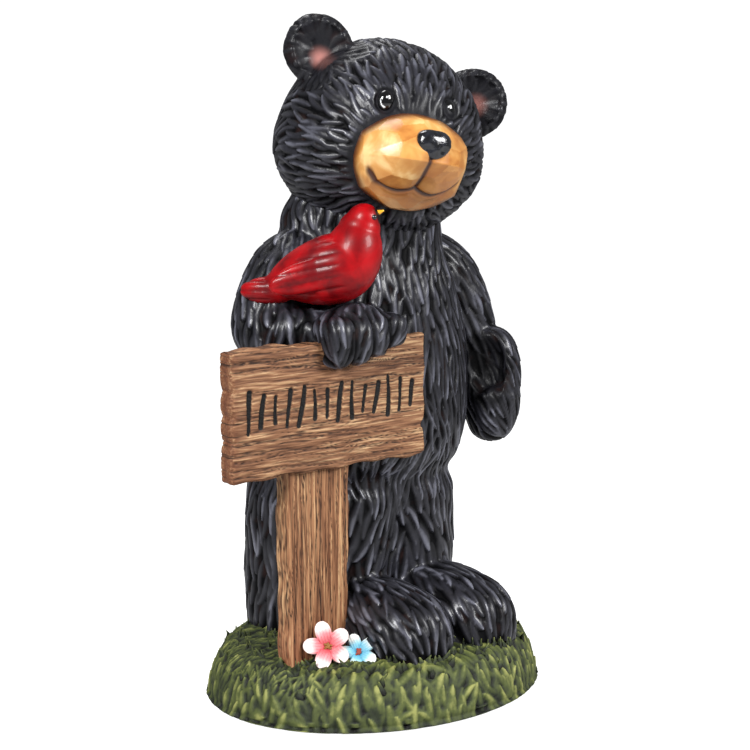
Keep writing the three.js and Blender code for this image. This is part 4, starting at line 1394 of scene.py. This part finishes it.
def flower(name, width, middle, turn, tilt, seed):
    random = np.random.default_rng(seed)
    facing = turned(math.radians(turn), "Z") @ turned(math.radians(tilt), "X")
    forms = []
    out_shares = []
    veins = []
    for i in range(PETAL_COUNT):
        angle = (i + 0.5) / PETAL_COUNT * 2 * math.pi
        petal_turn = turned(angle, "Z")
        stretch = random.uniform(0.92, 1.06)
        lift = random.uniform(-0.3, -0.12)

        def shape(directions):
            wide = 0.165 + 0.03 * directions[:, 0]
            x = width * (0.25 + 0.26 * stretch * directions[:, 0])
            y = width * wide * directions[:, 1]
            z = 1.0 * MM * directions[:, 2] + 0.9 * MM * directions[:, 1] ** 2 - lift * x
            z = z + 0.25 * MM * np.cos(directions[:, 1] * 16)
            out_shares.extend(x / (width * 0.51))
            veins.extend(0.5 + 0.5 * np.cos(directions[:, 1] * 16 + 0.6 * np.sin(directions[:, 0] * 5)))
            return np.stack([x, y, z], axis=1) @ petal_turn.T @ facing.T + middle

        forms.append(ball(shape, 4))
    for _ in range(HEART_BEADS):
        spot = random.normal(size=2) * 0.9 * MM
        bead = np.array([spot[0], spot[1], 1.4 * MM])
        forms.append(pebble(facing @ bead + middle, (0.7 * MM,) * 3, 2))
        out_shares.extend([-1] * len(forms[-1].verts))
        veins.extend([0] * len(forms[-1].verts))
    made = piece_from(name, forms)
    paint_points(made.data, "out", np.array(out_shares))
    paint_points(made.data, "vein", np.array(veins))
    return made


PINK_MIDDLE = np.array([-70, -35.3, 44]) * MM
BLUE_MIDDLE = np.array([-53, -44, 38.5]) * MM
pink_flower = flower("pink_petals", 29 * MM, PINK_MIDDLE, -40, 66, 2)
blue_flower = flower("blue_petals", 23 * MM, BLUE_MIDDLE, -36, 52, 6)
print("flowers", triangles(pink_flower), triangles(blue_flower))


# %% Petal paint
def petal_paint(name, deep, light, tip, heart):
    material, tree, shader = finish(name, Roughness=0.55)
    out = stored(tree, "out")
    ragged = plus(tree, out, times(tree, plus(tree, noise(tree, 3 * MM, 3), -0.5), 0.3))
    color = ramp(tree, ragged, [(0.12, deep), (0.45, light), (0.72, tip)])
    vein = times(tree, mask(tree, stored(tree, "vein"), 0.7, 1), mask(tree, out, 0.75, 0.35))
    color = mix(tree, times(tree, vein, 0.85), color, deep)
    color = mix(tree, mask(tree, out, -0.3, -0.6), color, heart)
    tree.links.new(color, shader.inputs["Base Color"])
    bumped(tree, shader, noise(tree, 1.2 * MM, 2), 0.2, 0.3 * MM)
    return material


PINK_TONES = [paint(196, 52, 64), paint(234, 142, 148), paint(246, 226, 222), paint(146, 96, 40)]
BLUE_TONES = [paint(60, 150, 186), paint(140, 204, 224), paint(240, 244, 240), paint(150, 62, 44)]
pink_flower.data.materials.append(petal_paint("pink_paint", *PINK_TONES))
blue_flower.data.materials.append(petal_paint("blue_paint", *BLUE_TONES))
print("flowers painted")

# %% [markdown]
# ## Floor and light
#
# A pale floor and a white world stand in for a photographer's white table. The camera sees both
# bright. They light the figure only dimly, so that its hollows stay black. Three soft lamps give the
# satin coat its long highlights: one on the left, one on the right and a weak one above and behind.

# %% Floor, world and lamps
FLOOR_GLOW = 0.95
SKY_ON_FIGURE = 0.2
SKY_TO_CAMERA = 1.1
WHITE = (1, 1, 1, 1)

floor_form = bmesh.new()
bmesh.ops.create_grid(floor_form, x_segments=1, y_segments=1, size=3)
floor = piece_from("floor", [floor_form])
floor_paint, tree, shader = finish(
    "floor_paint", Base_Color=(0.5, 0.5, 0.5, 1), Roughness=0.9, Specular_IOR_Level=0, Emission_Color=WHITE,
)
seen = times(tree, node(tree, "LightPath").outputs["Is Camera Ray"], FLOOR_GLOW)
tree.links.new(seen, shader.inputs["Emission Strength"])
floor.data.materials.append(floor_paint)

world = bpy.data.worlds.new("world")
world.use_nodes = True
background = world.node_tree.nodes["Background"]
background.inputs["Color"].default_value = WHITE
to_camera = node(world.node_tree, "LightPath").outputs["Is Camera Ray"]
brightness = {"Value": to_camera, "To Min": SKY_ON_FIGURE, "To Max": SKY_TO_CAMERA}
sky = node(world.node_tree, "MapRange", brightness)
world.node_tree.links.new(sky.outputs["Result"], background.inputs["Strength"])
bpy.context.scene.world = world


def lamp(name, place, target, size, power):
    data = bpy.data.lights.new(name, "AREA")
    data.size = size
    data.energy = power
    made = bpy.data.objects.new(name, data)
    made.location = place
    made.rotation_euler = (Vector(target) - Vector(place)).to_track_quat("-Z", "Y").to_euler()
    bpy.context.scene.collection.objects.link(made)


lamp("left_lamp", (-1.2, -0.45, 0.98), (0, 0, 0.22), 0.45, 24)
lamp("right_lamp", (0.55, -1.25, 0.9), (0, 0, 0.2), 0.55, 22)
lamp("top_lamp", (0.1, 0.5, 1.4), (0, 0, 0.2), 0.5, 5)
print("floor, world and three lamps set")

# %% [markdown]
# ## Handing over
#
# Each piece rides on the one body and hides the CAD node it stands for. The table also names a finish
# slot for each node. The last line prints how many triangles all the pieces have.

# %% Ride and replace
PIECES = {
    ("bear", "bear_paint"): (upper_body, lower_body, head, muzzle, nose, eyes),
    ("sign", "wood_paint"): (board, post),
    ("grass_mound", "grass_paint"): (mound, grass_blades),
    ("cardinal", "bird_paint"): (bird, beak, bird_eyes),
    ("pink_flower", "pink_paint"): (pink_flower,),
    ("blue_flower", "blue_paint"): (blue_flower,),
}
total = 0
for (node_name, slot_name), pieces in PIECES.items():
    for piece in pieces:
        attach(piece, "root")
        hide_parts(node_name)
        total += triangles(piece)
print("all pieces", total, "triangles")
